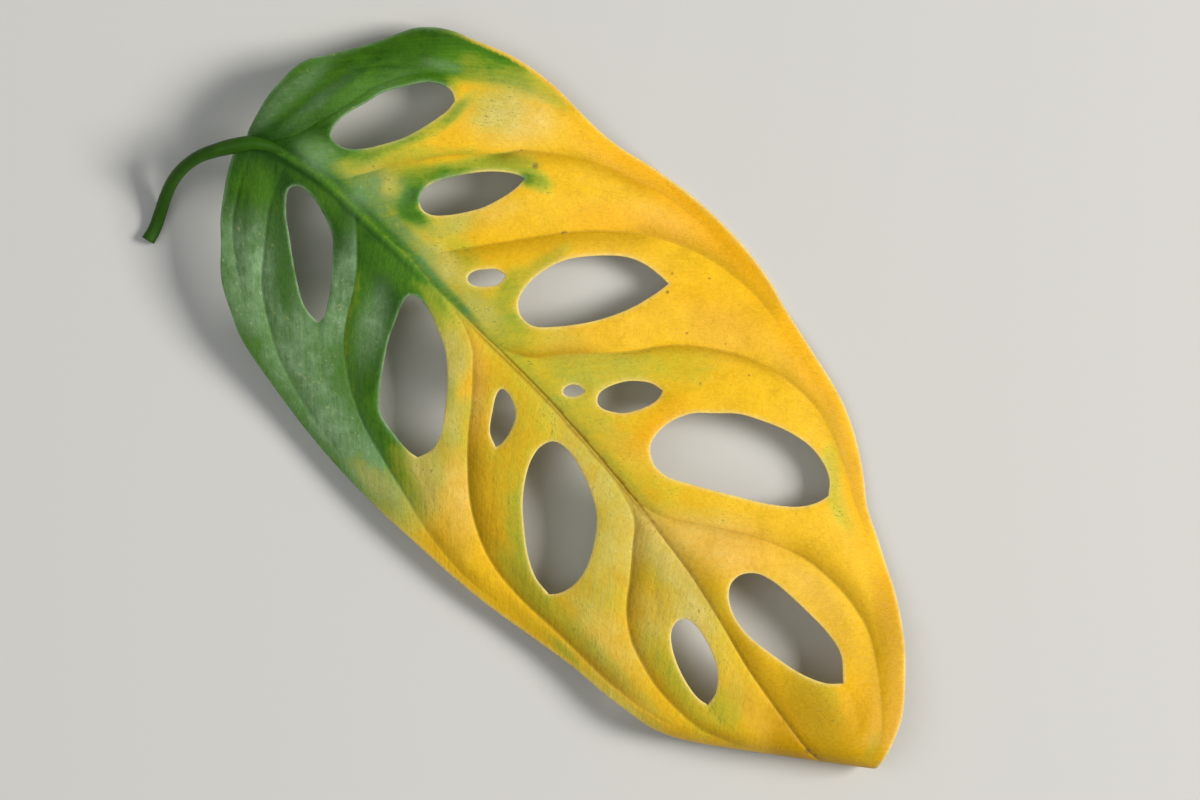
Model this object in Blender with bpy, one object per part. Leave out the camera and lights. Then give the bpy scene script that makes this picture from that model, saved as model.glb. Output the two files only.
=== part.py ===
"""A monstera leaf, picked, and lying face up on three low points: stalk, upper margin and bent tip.

The leaf is drawn in plan, in millimetres: s runs from the blade's base towards its tip, and t across it.
A height formula lifts that plan into a waved blade, which is bent down along a slanting line near the tip.
"""
import math

import bpy
import numpy as np
from mathutils import Vector
from mathutils.geometry import delaunay_2d_cdt

# Driving dimensions, in millimetres
BLADE_LENGTH = 178.0        # from the base to the far end of the bend, in plan
BLADE_THICKNESS = 0.8
STALK_RADIUS = 1.35
CREST_BASE = 17.0           # height of the midrib over the surface at the base
CREST_TIP = 12.6            # the same at the bend
CREST_SAG = 0.9             # how far the midrib hangs below a straight line between them
BEND_RADIUS = 5.0
BEND_ANGLE = math.radians(95.0)

# The plan's points are drawn for a blade 178 mm long and follow BLADE_LENGTH
PLAN_SCALE = BLADE_LENGTH / 178.0
MM = 0.001

# Where the middle of the finished leaf's box lies in the plan, which becomes the origin
CENTRE = (85.91, 13.745)

# Cross section, in millimetres, heights for each side of the midrib
CREST_ROUND = 3.0
SLOPE = {"upper": 0.080, "lower": 0.100}
CURVE = {"upper": 0.0036, "lower": 0.0030}
MARGIN_DROP = {"upper": 1.7, "lower": 1.1}
MARGIN_WIDTH = 7.0
WAVE_HEIGHT = {"upper": 1.3, "lower": 0.9}
WAVE_LENGTH = {"upper": 74.0, "lower": 62.0}
WAVE_LOW_POINT = {"upper": 78.0, "lower": 52.0}
WAVE_FULL_AT = 40.0
VEIN_DEPTH = 1.5
VEIN_WIDTH = 4.5
MIDRIB_DEPTH = 1.1
MIDRIB_WIDTH = 5.0

# How softly the blade settles on the surface it lies on, and how near to it the underside is pressed flat
SETTLE = 0.22
FLAT_UNDER = 0.35

# Ribs on the underside
MIDRIB_RIB = (1.5, 0.3)
MIDRIB_RIB_WIDTH = 1.6
VEIN_RIB = 0.45
VEIN_RIB_WIDTH = 1.0

# Mesh steps
EDGE_STEP = 1.7
INNER_STEP = 2.75
VEIN_STEP = 2.4
BESIDE_MIDRIB = 1.4
STALK_SIDES = 12
STALK_STEP = 1.5

# The margin on each side, from the base to the tip, as it would lie before the tip is bent down
UPPER_MARGIN = [
    (0.5, 2.2), (-0.9, 4.2), (-1.9, 7.1), (-3.3, 12.9), (-3.5, 19.2), (-2.9, 22.5), (-0.4, 26.7), (2.3, 31.3),
    (4.4, 35.4), (6.3, 39.6), (7.5, 42.1), (10.0, 45.0), (13.3, 47.3), (17.5, 49.1), (25.8, 52.4),
    (35.0, 54.0), (45.0, 54.0), (50.0, 54.2), (55.0, 55.0), (60.0, 56.25), (65.0, 57.25), (70.0, 58.0),
    (77.5, 58.5),
    (85.0, 58.3), (90.0, 57.75), (95.0, 56.8), (100.0, 55.3), (110.0, 53.0), (120.0, 50.6), (125.0, 48.6),
    (130.0, 45.9), (135.0, 42.5), (140.0, 38.6), (145.0, 36.1), (150.0, 33.5), (155.0, 31.0), (160.0, 27.9),
    (165.0, 24.1), (170.0, 19.1), (174.3, 14.0), (176.4, 9.7), (177.4, 6.9), (178.3, 3.9), (179.4, 0.6),
    (180.2, -2.6), (181.0, -7.4),
]
LOWER_MARGIN = [
    (181.0, -7.4), (176.0, -9.8), (170.0, -12.5), (163.0, -15.3), (157.0, -17.4), (152.0, -19.3),
    (146.0, -21.9), (140.3, -23.4), (135.0, -24.2), (130.0, -24.9), (120.0, -25.8), (110.0, -27.4),
    (100.0, -29.0), (90.0, -30.0), (80.0, -30.5), (70.0, -30.9), (60.0, -30.75), (50.0, -30.0),
    (40.0, -28.6), (30.3, -26.9), (26.2, -25.8),
    (22.0, -23.8), (17.8, -21.7), (14.9, -19.6), (10.8, -15.4), (7.4, -12.1), (4.5, -8.3), (2.0, -4.6),
    (0.1, -1.0), (-0.4, 0.9), (0.5, 2.2),
]

# Each hole starts and ends at its pointed end
HOLES = [
    [(23.8, 37.7), (24.1, 35.4), (23.8, 32.9), (22.9, 28.8), (21.7, 25.0), (20.0, 21.7), (17.9, 18.3),
     (15.4, 15.8), (13.3, 15.0), (11.5, 15.3), (10.4, 17.9), (10.6, 21.3), (11.5, 24.6), (12.5, 28.8),
     (14.6, 32.5), (17.1, 36.3), (20.0, 38.3), (22.1, 38.6), (23.8, 37.7)],
    [(44.7, 36.6), (44.8, 34.2), (44.2, 30.8), (42.9, 26.7), (41.3, 23.8), (39.2, 20.8), (36.7, 18.3),
     (34.6, 17.8), (32.7, 19.0), (32.1, 20.8), (32.5, 23.3), (35.4, 28.3), (37.9, 31.7), (40.4, 34.2),
     (42.9, 36.0), (44.7, 36.6)],
    [(55.7, 20.3), (56.0, 19.0), (55.8, 17.5), (54.6, 16.0), (53.1, 14.6), (51.9, 14.1), (50.9, 14.3),
     (50.5, 15.2), (50.9, 16.7), (52.1, 18.3), (53.5, 19.7), (55.7, 20.3)],
    [(79.9, 42.1), (79.5, 39.2), (78.0, 33.3), (75.0, 26.9), (70.8, 21.0), (67.1, 17.2), (65.2, 16.6),
     (63.0, 16.9), (61.2, 18.4), (60.3, 21.0), (60.3, 25.4), (61.9, 30.6), (65.0, 35.0), (70.0, 39.8),
     (73.5, 41.4), (77.1, 42.0), (79.9, 42.1)],
    [(83.3, 15.1), (83.1, 13.8), (82.3, 12.5), (81.2, 11.8), (80.3, 11.9), (80.0, 12.8), (80.5, 14.1),
     (81.7, 15.0), (83.3, 15.1)],
    [(94.2, 26.1), (94.7, 24.8), (94.5, 22.5), (92.1, 17.7), (90.0, 16.0), (88.1, 15.1), (86.8, 15.2),
     (85.8, 16.4), (85.8, 18.2), (87.5, 21.9), (89.4, 24.0), (91.7, 25.6), (94.2, 26.1)],
    [(132.6, 34.7), (132.1, 32.5), (130.0, 29.1), (125.8, 25.5), (119.2, 21.4), (111.2, 16.8), (107.1, 14.7),
     (104.2, 14.4), (101.9, 15.2), (100.2, 16.8), (99.5, 19.5), (99.8, 22.9), (101.6, 27.0), (104.8, 30.3),
     (108.3, 33.6), (112.5, 35.9), (117.5, 38.0), (122.9, 39.1), (127.6, 38.5), (130.6, 37.0), (132.6, 34.7)],
    [(161.2, 10.25), (158.8, 7.9), (154.2, 5.8), (147.5, 4.4), (141.0, 3.7), (136.7, 4.3), (133.2, 6.0),
     (131.3, 8.3), (131.3, 11.0), (133.2, 13.4), (136.7, 14.7), (145.0, 15.25), (152.0, 15.1),
     (156.7, 14.0), (161.2, 10.25)],
    [(36.0, -12.8), (34.0, -12.9), (31.6, -12.5), (29.1, -11.3), (22.8, -7.1), (19.5, -4.6), (16.6, -2.5),
     (14.1, 0.0), (13.0, 1.8), (13.5, 3.3), (15.3, 4.0), (17.8, 4.0), (20.3, 3.5), (23.3, 2.5), (26.2, 1.0),
     (28.7, -1.7), (32.4, -5.8), (34.5, -8.8), (35.8, -11.2), (36.0, -12.8)],
    [(69.0, -17.9), (67.3, -18.3), (62.5, -18.0), (57.5, -16.9), (55.0, -14.8), (50.8, -9.2), (48.3, -5.4),
     (46.6, -1.7), (45.1, 1.9), (45.0, 3.9), (46.8, 4.8), (50.0, 4.4), (53.3, 3.2), (57.5, 1.3), (62.1, -2.6),
     (66.2, -7.4), (69.2, -11.8), (69.9, -14.8), (69.0, -17.9)],
    [(78.6, -5.4), (78.9, -3.9), (78.3, -0.8), (76.9, 1.9), (74.6, 3.4), (72.9, 3.9), (71.2, 3.7),
     (71.2, 2.4), (72.9, -0.5), (75.8, -4.2), (78.6, -5.4)],
    [(107.0, -18.75), (102.9, -18.3), (98.8, -16.4), (94.2, -13.0), (90.0, -9.2), (86.9, -5.1), (85.3, -1.8),
     (84.9, 1.2), (86.0, 3.6), (88.8, 4.35), (92.1, 3.9), (97.5, 2.1), (102.5, -0.8), (106.2, -5.3),
     (108.6, -10.1), (109.1, -14.0), (108.3, -17.0), (107.0, -18.75)],
    [(145.1, -11.9), (142.5, -12.3), (137.3, -11.3), (132.2, -9.0), (129.6, -6.7), (128.9, -4.3),
     (129.9, -2.7), (131.9, -2.4), (136.5, -3.3), (141.2, -5.5), (144.4, -9.0), (145.1, -11.9)],
]

# The midrib, and the side veins from the midrib outwards until they run out along the margin
MIDRIB = [
    (0.5, 3.4), (5.0, 5.4), (10.0, 6.8), (15.0, 7.9), (20.0, 8.4), (30.0, 8.6), (40.0, 8.9), (50.0, 8.6),
    (60.0, 8.5), (75.0, 8.7), (85.0, 8.3), (95.0, 7.6), (105.0, 6.7), (115.0, 5.5), (125.0, 4.0),
    (135.0, 1.7), (145.0, -0.9), (155.0, -2.7), (165.0, -4.1), (172.0, -5.3), (178.0, -6.7),
]
VEINS = [
    [(3.5, 6.4), (6.3, 10.8), (7.5, 15.4), (9.0, 21.7), (10.3, 28.0), (12.6, 33.5), (15.8, 37.7),
     (20.0, 41.6), (24.2, 44.6), (28.3, 47.5), (32.5, 50.0), (38.0, 52.2)],
    [(13.5, 7.7), (16.3, 8.6), (19.2, 10.8), (21.3, 14.6), (23.8, 19.2), (26.7, 23.3), (30.0, 28.3),
     (33.8, 32.5), (37.9, 37.1), (40.4, 40.4), (45.0, 44.2), (50.0, 47.9), (55.0, 50.2), (60.0, 51.9),
     (67.0, 54.2), (76.0, 55.5)],
    [(34.0, 8.8), (37.5, 9.3), (40.0, 10.6), (42.9, 13.8), (48.3, 21.3), (53.3, 28.3), (57.8, 34.5),
     (62.5, 39.8), (67.5, 44.2), (72.5, 47.5), (80.0, 50.9), (87.5, 52.5), (95.0, 52.8), (102.0, 52.0)],
    [(62.0, 8.7), (65.0, 9.2), (67.9, 10.3), (71.3, 12.5), (75.0, 17.1), (80.0, 22.5), (84.2, 27.3),
     (87.9, 32.5), (92.1, 36.7), (95.8, 39.4), (101.7, 42.9), (109.2, 45.1), (117.5, 45.6), (122.9, 44.5),
     (130.0, 41.6), (136.7, 37.9), (142.0, 35.4)],
    [(103.0, 7.0), (107.0, 7.2), (110.5, 7.8), (113.3, 9.1), (116.7, 11.4), (120.0, 13.5), (125.8, 17.3),
     (131.7, 20.2), (138.3, 22.4), (145.0, 23.1), (150.0, 22.9), (156.7, 21.4), (163.3, 17.7), (170.0, 12.3),
     (173.8, 8.4), (176.0, 3.7)],
    [(2.6, 1.4), (5.0, -3.6), (7.4, -7.6), (9.5, -10.6), (12.4, -13.4), (14.9, -15.4), (19.5, -18.8),
     (25.0, -22.0)],
    [(9.0, 5.0), (11.0, 0.0), (13.0, -3.8), (17.8, -10.0), (22.0, -15.0), (26.2, -18.3), (30.3, -20.8),
     (35.0, -23.3), (40.0, -25.0), (45.0, -26.3), (50.0, -27.3), (57.0, -28.4)],
    [(26.0, 8.1), (30.5, 6.4), (33.7, 1.7), (35.8, -2.5), (40.0, -9.2), (42.8, -12.5), (47.0, -15.8),
     (52.0, -18.8), (57.5, -21.2), (63.3, -22.8), (70.0, -24.5), (76.7, -26.1), (84.2, -27.4), (92.0, -27.9),
     (100.0, -27.1)],
    [(50.0, 8.4), (54.0, 8.0), (57.5, 7.2), (61.7, 5.1), (65.0, 1.8), (69.2, -2.8), (72.9, -7.4),
     (77.5, -12.2), (82.5, -16.6), (87.5, -19.7), (92.5, -21.8), (97.5, -22.9), (105.0, -23.3),
     (113.3, -22.9), (120.0, -22.8), (127.9, -22.6), (135.0, -21.7), (142.0, -20.0)],
    [(96.0, 7.3), (102.0, 6.2), (106.5, 5.0), (109.2, 3.4), (111.7, 0.4), (116.2, -4.9), (120.1, -9.8),
     (125.1, -13.5), (130.0, -15.3), (135.6, -16.6), (142.5, -16.8), (147.6, -16.2), (152.4, -14.6),
     (158.0, -12.4)],
]

# The stalk's path as (s, t, height, share of STALK_RADIUS), from its cut end into the rib under the midrib
STALK = [
    (-0.2, -25.6, 1.2, 1.08), (-0.9, -23.0, 1.25, 1.0), (-2.3, -20.0, 2.1, 0.98), (-3.8, -16.8, 4.3, 0.96),
    (-4.9, -13.4, 7.2, 0.96), (-5.1, -9.8, 10.3, 0.96), (-4.4, -6.3, 12.9, 0.98), (-2.9, -3.2, 14.7, 1.07),
    (-0.9, 0.1, 15.8, 1.18), (1.4, 3.2, 16.0, 1.11), (4.6, 5.2, 15.7, 0.89), (8.5, 6.4, 15.3, 0.78),
    (14.0, 7.7, 14.95, 0.7), (20.0, 8.4, 14.5, 0.63), (26.0, 8.6, 13.9, 0.45),
]

# The line along which the tip bends: where the bend starts, and the way across it
BEND_START = (144.2, -16.1)
ACROSS_BEND = (0.6, -0.8)


def curve_through(points, step):
    """A smooth open curve through the points (centripetal Catmull-Rom), cut into equal lengths."""
    pts = np.asarray(points, dtype=float)
    ends = np.vstack([2.0 * pts[0] - pts[1], pts, 2.0 * pts[-1] - pts[-2]])
    dense = []
    for i in range(1, len(ends) - 2):
        p0, p1, p2, p3 = ends[i - 1:i + 3]
        t1 = math.sqrt(np.linalg.norm(p1[:2] - p0[:2]))
        t2 = t1 + math.sqrt(np.linalg.norm(p2[:2] - p1[:2]))
        t3 = t2 + math.sqrt(np.linalg.norm(p3[:2] - p2[:2]))
        t = np.linspace(t1, t2, 13)[:-1, None]
        a1 = p0 * (t1 - t) / t1 + p1 * t / t1
        a2 = p1 * (t2 - t) / (t2 - t1) + p2 * (t - t1) / (t2 - t1)
        a3 = p2 * (t3 - t) / (t3 - t2) + p3 * (t - t2) / (t3 - t2)
        b1 = a1 * (t2 - t) / t2 + a2 * t / t2
        b2 = a2 * (t3 - t) / (t3 - t1) + a3 * (t - t1) / (t3 - t1)
        dense.append(b1 * (t2 - t) / (t2 - t1) + b2 * (t - t1) / (t2 - t1))
    dense = np.vstack(dense + [pts[-1:]])
    lengths = np.concatenate([[0.0], np.cumsum(np.linalg.norm(np.diff(dense, axis=0), axis=1))])
    count = max(3, round(lengths[-1] / step))
    even = np.linspace(0.0, lengths[-1], count + 1)
    return np.column_stack([np.interp(even, lengths, dense[:, k]) for k in range(dense.shape[1])])


def distance_to(path, s, t):
    """The distance from each point (s, t) to a line of points, and how far along it the nearest point is."""
    start = path[:-1]
    run = np.diff(path, axis=0)
    share = (s[:, None] - start[:, 0]) * run[:, 0] + (t[:, None] - start[:, 1]) * run[:, 1]
    share = np.clip(share / (run ** 2).sum(axis=1), 0.0, 1.0)
    gap = np.hypot(start[:, 0] + share * run[:, 0] - s[:, None], start[:, 1] + share * run[:, 1] - t[:, None])
    nearest = gap.argmin(axis=1)
    rows = np.arange(len(s))
    return gap[rows, nearest], (nearest + share[rows, nearest]) / len(run)


def inside(loop, s, t):
    """Which points lie inside a closed loop, by counting the loop's crossings beyond each point."""
    a, b = loop, np.roll(loop, -1, axis=0)
    spans = (a[:, 1] > t[:, None]) != (b[:, 1] > t[:, None])
    rise = np.where(a[:, 1] == b[:, 1], 1.0, b[:, 1] - a[:, 1])
    crossing = a[:, 0] + (t[:, None] - a[:, 1]) / rise * (b[:, 0] - a[:, 0])
    return (spans & (s[:, None] < crossing)).sum(axis=1) % 2 == 1


def scaled(points):
    """Plan points drawn for the 178 mm blade, at the blade's length."""
    return [(s * PLAN_SCALE, t * PLAN_SCALE) for s, t in points]


UPPER_LINE = curve_through(scaled(UPPER_MARGIN), EDGE_STEP)
LOWER_LINE = curve_through(scaled(LOWER_MARGIN), EDGE_STEP)
OUTLINE = np.vstack([UPPER_LINE[:-1], LOWER_LINE[:-1]])
HOLE_LINES = [curve_through(scaled(points), EDGE_STEP)[:-1] for points in HOLES]
MIDRIB_LINE = curve_through(scaled(MIDRIB), VEIN_STEP)
VEIN_LINES = [curve_through(scaled(points), VEIN_STEP) for points in VEINS]


def in_blade(s, t):
    """Which plan points lie inside the outline and outside every hole."""
    found = inside(OUTLINE, s, t)
    for loop in HOLE_LINES:
        found &= ~inside(loop, s, t)
    return found


def by_side(values, upper):
    """Picks the upper or the lower side's value for each point."""
    return np.where(upper, values["upper"], values["lower"])


def height(s, t):
    """The blade's height over the surface before the bend: crest, fall to the sides, waves and veins."""
    along = s / BLADE_LENGTH
    crest = CREST_BASE + (CREST_TIP - CREST_BASE) * along - CREST_SAG * np.sin(math.pi * np.clip(along, 0, 1))
    across = t - np.interp(s, MIDRIB_LINE[:, 0], MIDRIB_LINE[:, 1])
    upper = across > 0.0
    rounded = np.hypot(across, CREST_ROUND) - CREST_ROUND
    fall = by_side(SLOPE, upper) * rounded + by_side(CURVE, upper) * across ** 2

    to_margin, _ = distance_to(np.vstack([OUTLINE, OUTLINE[:1]]), s, t)
    turned = np.clip(1.0 - to_margin / MARGIN_WIDTH, 0.0, 1.0) ** 2 * by_side(MARGIN_DROP, upper)
    phase = 2.0 * math.pi * (s - by_side(WAVE_LOW_POINT, upper)) / by_side(WAVE_LENGTH, upper)
    reach = np.clip(np.abs(across) / WAVE_FULL_AT, 0.0, 1.3) ** 1.5
    wave = -by_side(WAVE_HEIGHT, upper) * np.cos(phase) * reach

    sunk = np.zeros_like(s)
    for line in VEIN_LINES:
        gap, share = distance_to(line, s, t)
        depth = VEIN_DEPTH * np.clip(0.55 + 3.0 * share, 0.0, 1.0) * (1.0 - 0.75 * share ** 3)
        sunk += (depth * np.exp(-gap / VEIN_WIDTH)) ** 4
    gap, share = distance_to(MIDRIB_LINE, s, t)
    sunk += (MIDRIB_DEPTH * np.exp(-gap / MIDRIB_WIDTH)) ** 4
    return crest - fall - turned + wave - sunk ** 0.25


def surface(s, t):
    """The middle of the blade's thickness in space: the tip bends round a circle and then hangs down."""
    from_line = np.column_stack([s, t]) - np.array(BEND_START) * PLAN_SCALE
    beyond = np.maximum(from_line @ np.array(ACROSS_BEND), 0.0)
    angle = np.minimum(beyond / BEND_RADIUS, BEND_ANGLE)
    straight = beyond - angle * BEND_RADIUS
    reach = BEND_RADIUS * np.sin(angle) + straight * math.cos(BEND_ANGLE)
    drop = BEND_RADIUS * (1.0 - np.cos(angle)) + straight * math.sin(BEND_ANGLE)
    x = s + (reach - beyond) * ACROSS_BEND[0]
    y = t + (reach - beyond) * ACROSS_BEND[1]
    over = (height(s, t) - drop - BLADE_THICKNESS / 2.0) / SETTLE
    return np.column_stack([x, y, BLADE_THICKNESS / 2.0 + SETTLE * np.logaddexp(0.0, over)])


def normals(s, t):
    """The blade's upward normal, from the surface a little way to each side."""
    step = 0.15
    along = surface(s + step, t) - surface(s - step, t)
    across = surface(s, t + step) - surface(s, t - step)
    n = np.cross(along, across)
    return n / np.linalg.norm(n, axis=1)[:, None]


def rib_height(s, t):
    """How far the midrib and the side veins stand out of the underside."""
    gap, share = distance_to(MIDRIB_LINE, s, t)
    tall = MIDRIB_RIB[0] + (MIDRIB_RIB[1] - MIDRIB_RIB[0]) * share
    rib = tall * np.exp(-(gap / MIDRIB_RIB_WIDTH) ** 2)
    for line in VEIN_LINES:
        gap, share = distance_to(line, s, t)
        rib = np.maximum(rib, VEIN_RIB * (1.0 - 0.8 * share) * np.exp(-(gap / VEIN_RIB_WIDTH) ** 2))
    return rib


def plan_points():
    """Points and edges for the plan's triangles: the rims, rows along the ribs, and an even grid between."""
    rims = [OUTLINE] + HOLE_LINES
    side = np.gradient(MIDRIB_LINE, axis=0)
    side = np.column_stack([-side[:, 1], side[:, 0]]) / np.linalg.norm(side, axis=1)[:, None]
    rows = [MIDRIB_LINE, MIDRIB_LINE + BESIDE_MIDRIB * side, MIDRIB_LINE - BESIDE_MIDRIB * side]
    low, high = OUTLINE.min(axis=0), OUTLINE.max(axis=0)
    grid = []
    for row, t in enumerate(np.arange(low[1], high[1], INNER_STEP * math.sqrt(0.75))):
        s = np.arange(low[0] + (row % 2) * INNER_STEP / 2.0, high[0], INNER_STEP)
        grid.append(np.column_stack([s, np.full_like(s, t)]))

    edges = []
    first = 0
    for loop in rims:
        edges += [(first + i, first + (i + 1) % len(loop)) for i in range(len(loop))]
        first += len(loop)
    kept = np.vstack(rims)
    linked_rows = [(row, True) for row in rows + VEIN_LINES]
    for group, linked in linked_rows + [(np.vstack(grid), False)]:
        clear = 0.45 * VEIN_STEP if linked else 0.66 * INNER_STEP
        gaps = np.hypot(group[:, None, 0] - kept[None, :, 0], group[:, None, 1] - kept[None, :, 1])
        wanted = in_blade(group[:, 0], group[:, 1]) & (gaps.min(axis=1) > clear)
        number = len(kept) + np.cumsum(wanted) - 1
        if linked:
            edges += [(number[i], number[i + 1]) for i in np.flatnonzero(wanted[:-1] & wanted[1:])]
        kept = np.vstack([kept, group[wanted]])
    return kept, edges


def plan_triangles(points, edges):
    """Triangles of the plan between its outline and its holes."""
    result = delaunay_2d_cdt([Vector(p) for p in points], edges, [], 0, 1e-6)
    out_points = np.array([tuple(v) for v in result[0]])
    triangles = np.array(result[2])
    middle = out_points[triangles].mean(axis=1)
    return out_points, triangles[in_blade(middle[:, 0], middle[:, 1])]


def open_edges(triangles):
    """The directed edges that only one triangle has, which are the rims."""
    edges = np.vstack([triangles[:, [0, 1]], triangles[:, [1, 2]], triangles[:, [2, 0]]])
    present = set(map(tuple, edges.tolist()))
    return [(a, b) for a, b in present if (b, a) not in present]


def blade_mesh():
    """The blade as a closed skin: two faces with the same triangles, and a wall along every rim."""
    points, triangles = plan_triangles(*plan_points())
    s, t = points[:, 0], points[:, 1]
    middle, up = surface(s, t), normals(s, t)
    top = middle + up * BLADE_THICKNESS / 2.0
    bottom = middle - up * (BLADE_THICKNESS / 2.0 + rib_height(s, t))[:, None]
    bottom[bottom[:, 2] < FLAT_UNDER, 2] = 0.0
    count = len(points)
    walls = []
    for a, b in sorted(open_edges(triangles)):
        walls += [(a, a + count, b + count), (a, b + count, b)]
    faces = triangles.tolist() + (triangles[:, ::-1] + count).tolist() + walls
    return np.vstack([top, bottom]), faces


def tube_mesh(path, sides):
    """A closed round tube along points that each carry their own radius."""
    centre, radius = path[:, :3], path[:, 3]
    along = np.gradient(centre, axis=0)
    along /= np.linalg.norm(along, axis=1)[:, None]
    level = np.cross(along, (0.0, 0.0, 1.0))
    level /= np.linalg.norm(level, axis=1)[:, None]
    upward = np.cross(level, along)
    turn = np.arange(sides) * 2.0 * math.pi / sides
    ring = np.cos(turn)[:, None, None] * level + np.sin(turn)[:, None, None] * upward
    points = (centre + ring * radius[:, None]).transpose(1, 0, 2).reshape(-1, 3)
    points[:, 2] = np.maximum(points[:, 2], 0.0)
    faces = []
    for i in range(len(path) - 1):
        for k in range(sides):
            a, b = i * sides + k, i * sides + (k + 1) % sides
            faces.append((a, b, b + sides, a + sides))
    faces.append(tuple(range(sides - 1, -1, -1)))
    faces.append(tuple(range(len(points) - sides, len(points))))
    return points, faces


def add_object(name, points, faces):
    """A mesh object whose plan centre lies at the origin."""
    mesh = bpy.data.meshes.new(name)
    moved = (points - np.array([CENTRE[0], CENTRE[1], 0.0])) * MM
    mesh.from_pydata(moved.tolist(), [], faces)
    mesh.validate()
    mesh.update()
    thing = bpy.data.objects.new(name, mesh)
    bpy.context.scene.collection.objects.link(thing)
    return thing


def leaf_material():
    """Yellowing leaf with a soft waxy sheen."""
    material = bpy.data.materials.new("yellowing_leaf")
    material.use_nodes = True
    shader = material.node_tree.nodes["Principled BSDF"]
    shader.inputs["Base Color"].default_value = (0.80, 0.50, 0.045, 1.0)
    shader.inputs["Roughness"].default_value = 0.45
    shader.inputs["Metallic"].default_value = 0.0
    return material


def build():
    """Makes the leaf: the blade, with the stalk joined to it by one union."""
    for thing in list(bpy.data.objects):
        bpy.data.objects.remove(thing, do_unlink=True)
    blade = add_object("monstera_leaf", *blade_mesh())
    blade.data.materials.append(leaf_material())
    sizes = np.array([PLAN_SCALE, PLAN_SCALE, 1.0, STALK_RADIUS])
    path = curve_through(np.array(STALK) * sizes, STALK_STEP)
    stalk = add_object("stalk_shape", *tube_mesh(path, STALK_SIDES))
    stalk.hide_render = True
    stalk.display_type = "WIRE"
    union = blade.modifiers.new("stalk", "BOOLEAN")
    union.operation = "UNION"
    union.solver = "EXACT"
    union.object = stalk
    blade.data.shade_smooth()
    blade.data.set_sharp_from_angle(angle=math.radians(40.0))


build()
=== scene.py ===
import math

import bpy
import numpy as np
from bpy.props import FloatProperty, FloatVectorProperty, PointerProperty
from mathutils.geometry import delaunay_2d_cdt
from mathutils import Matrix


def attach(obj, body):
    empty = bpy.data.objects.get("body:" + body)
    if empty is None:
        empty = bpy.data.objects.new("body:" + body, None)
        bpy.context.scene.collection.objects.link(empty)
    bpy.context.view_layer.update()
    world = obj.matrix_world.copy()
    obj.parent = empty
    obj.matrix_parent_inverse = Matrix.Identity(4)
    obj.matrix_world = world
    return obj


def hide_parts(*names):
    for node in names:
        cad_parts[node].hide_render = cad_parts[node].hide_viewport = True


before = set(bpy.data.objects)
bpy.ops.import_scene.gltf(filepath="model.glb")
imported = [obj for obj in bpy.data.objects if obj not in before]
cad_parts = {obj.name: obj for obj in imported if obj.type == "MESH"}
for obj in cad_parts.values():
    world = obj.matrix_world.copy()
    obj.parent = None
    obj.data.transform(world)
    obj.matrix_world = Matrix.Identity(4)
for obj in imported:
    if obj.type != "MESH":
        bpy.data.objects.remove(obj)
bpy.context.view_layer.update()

bl_info = {
    "name": "Monstera Leaf",
    "version": (1, 0, 0),
    "blender": (4, 5, 0),
    "location": "3D Viewport > Sidebar > Leaf",
    "description": "A holed leaf with its veins, waved margin, bent tip and stalk",
    "category": "Add Mesh",
}

CAD_NODE = "monstera_leaf"
MM = 0.001

# Lengths below are in millimetres. A pair holds the number for the wider side of the midrib (towards +t), and
# then the one for the narrower side.

# Where the middle of the leaf's box lies in the plan
CENTRE = (85.91, 13.745)

# The blade's cross section: the crest over the midrib, the fall to both sides, the turned-down margin and the
# waves along it. The waves have their low points at WAVE_LOW and their full height at WAVE_FULL_AT from the
# midrib, and grow with the power WAVE_GROWTH of that distance, up to WAVE_LIMIT times it.
BLADE_LENGTH = 178.0
CREST_SAG, CREST_ROUND = 0.9, 3.0
SLOPE, CURVE = (0.080, 0.100), (0.0036, 0.0030)
MARGIN_TURN, MARGIN_WIDTH = (1.7, 1.1), 7.0
WAVE_HEIGHT, WAVE_LENGTH, WAVE_LOW = (1.3, 0.9), (74.0, 62.0), (78.0, 52.0)
WAVE_FULL_AT, WAVE_LIMIT, WAVE_GROWTH = 40.0, 1.3, 1.5

# The valleys at the midrib and the side veins, with a thin groove in each, the midrib's ridge at the base, the
# fine veins, the turned edges of the holes and a slight unevenness. A side vein's valley has VEIN_START of its
# depth at the midrib, gains VEIN_GROWTH of it over the vein's length until it is full, and loses VEIN_LOSS of
# it towards the vein's end, where its groove has lost LINE_LOSS.
MIDRIB_DEPTH, MIDRIB_WIDTH, MIDRIB_GROOVE, MIDRIB_GROOVE_STARTS = 1.1, 5.0, 0.24, (25.0, 60.0)
VEIN_START, VEIN_GROWTH, VEIN_LOSS = (0.55, 0.15), 3.0, 0.75
VEIN_WIDTH, VEIN_GROOVE, LINE_LOSS = 4.2, 0.14, 0.8
RIDGE_HEIGHT, RIDGE_WIDTH, RIDGE_ENDS = 0.75, 1.1, (8.0, 42.0)
FINE_DEPTH, FINE_WIDTH = 0.20, 1.5
HOLE_TURN, HOLE_TURN_WIDTH = 0.30, 0.9
UNEVEN_HEIGHT, UNEVEN_FADE = 0.10, 3.0

# Ribs under the midrib (height at the base, loss towards the tip, width) and under the side veins
MIDRIB_RIB, VEIN_RIB, VEIN_RIB_WIDTH = (1.5, 1.2, 1.4), 0.45, 0.8

# The line along which the tip bends: where the bend starts, and the way across it
BEND_START = (144.2, -16.1)
ACROSS_BEND = (0.6, -0.8)

# How far the whole blade is let down onto the floor, and how softly it settles there
LET_DOWN, SETTLE = 0.1, 0.22

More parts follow.
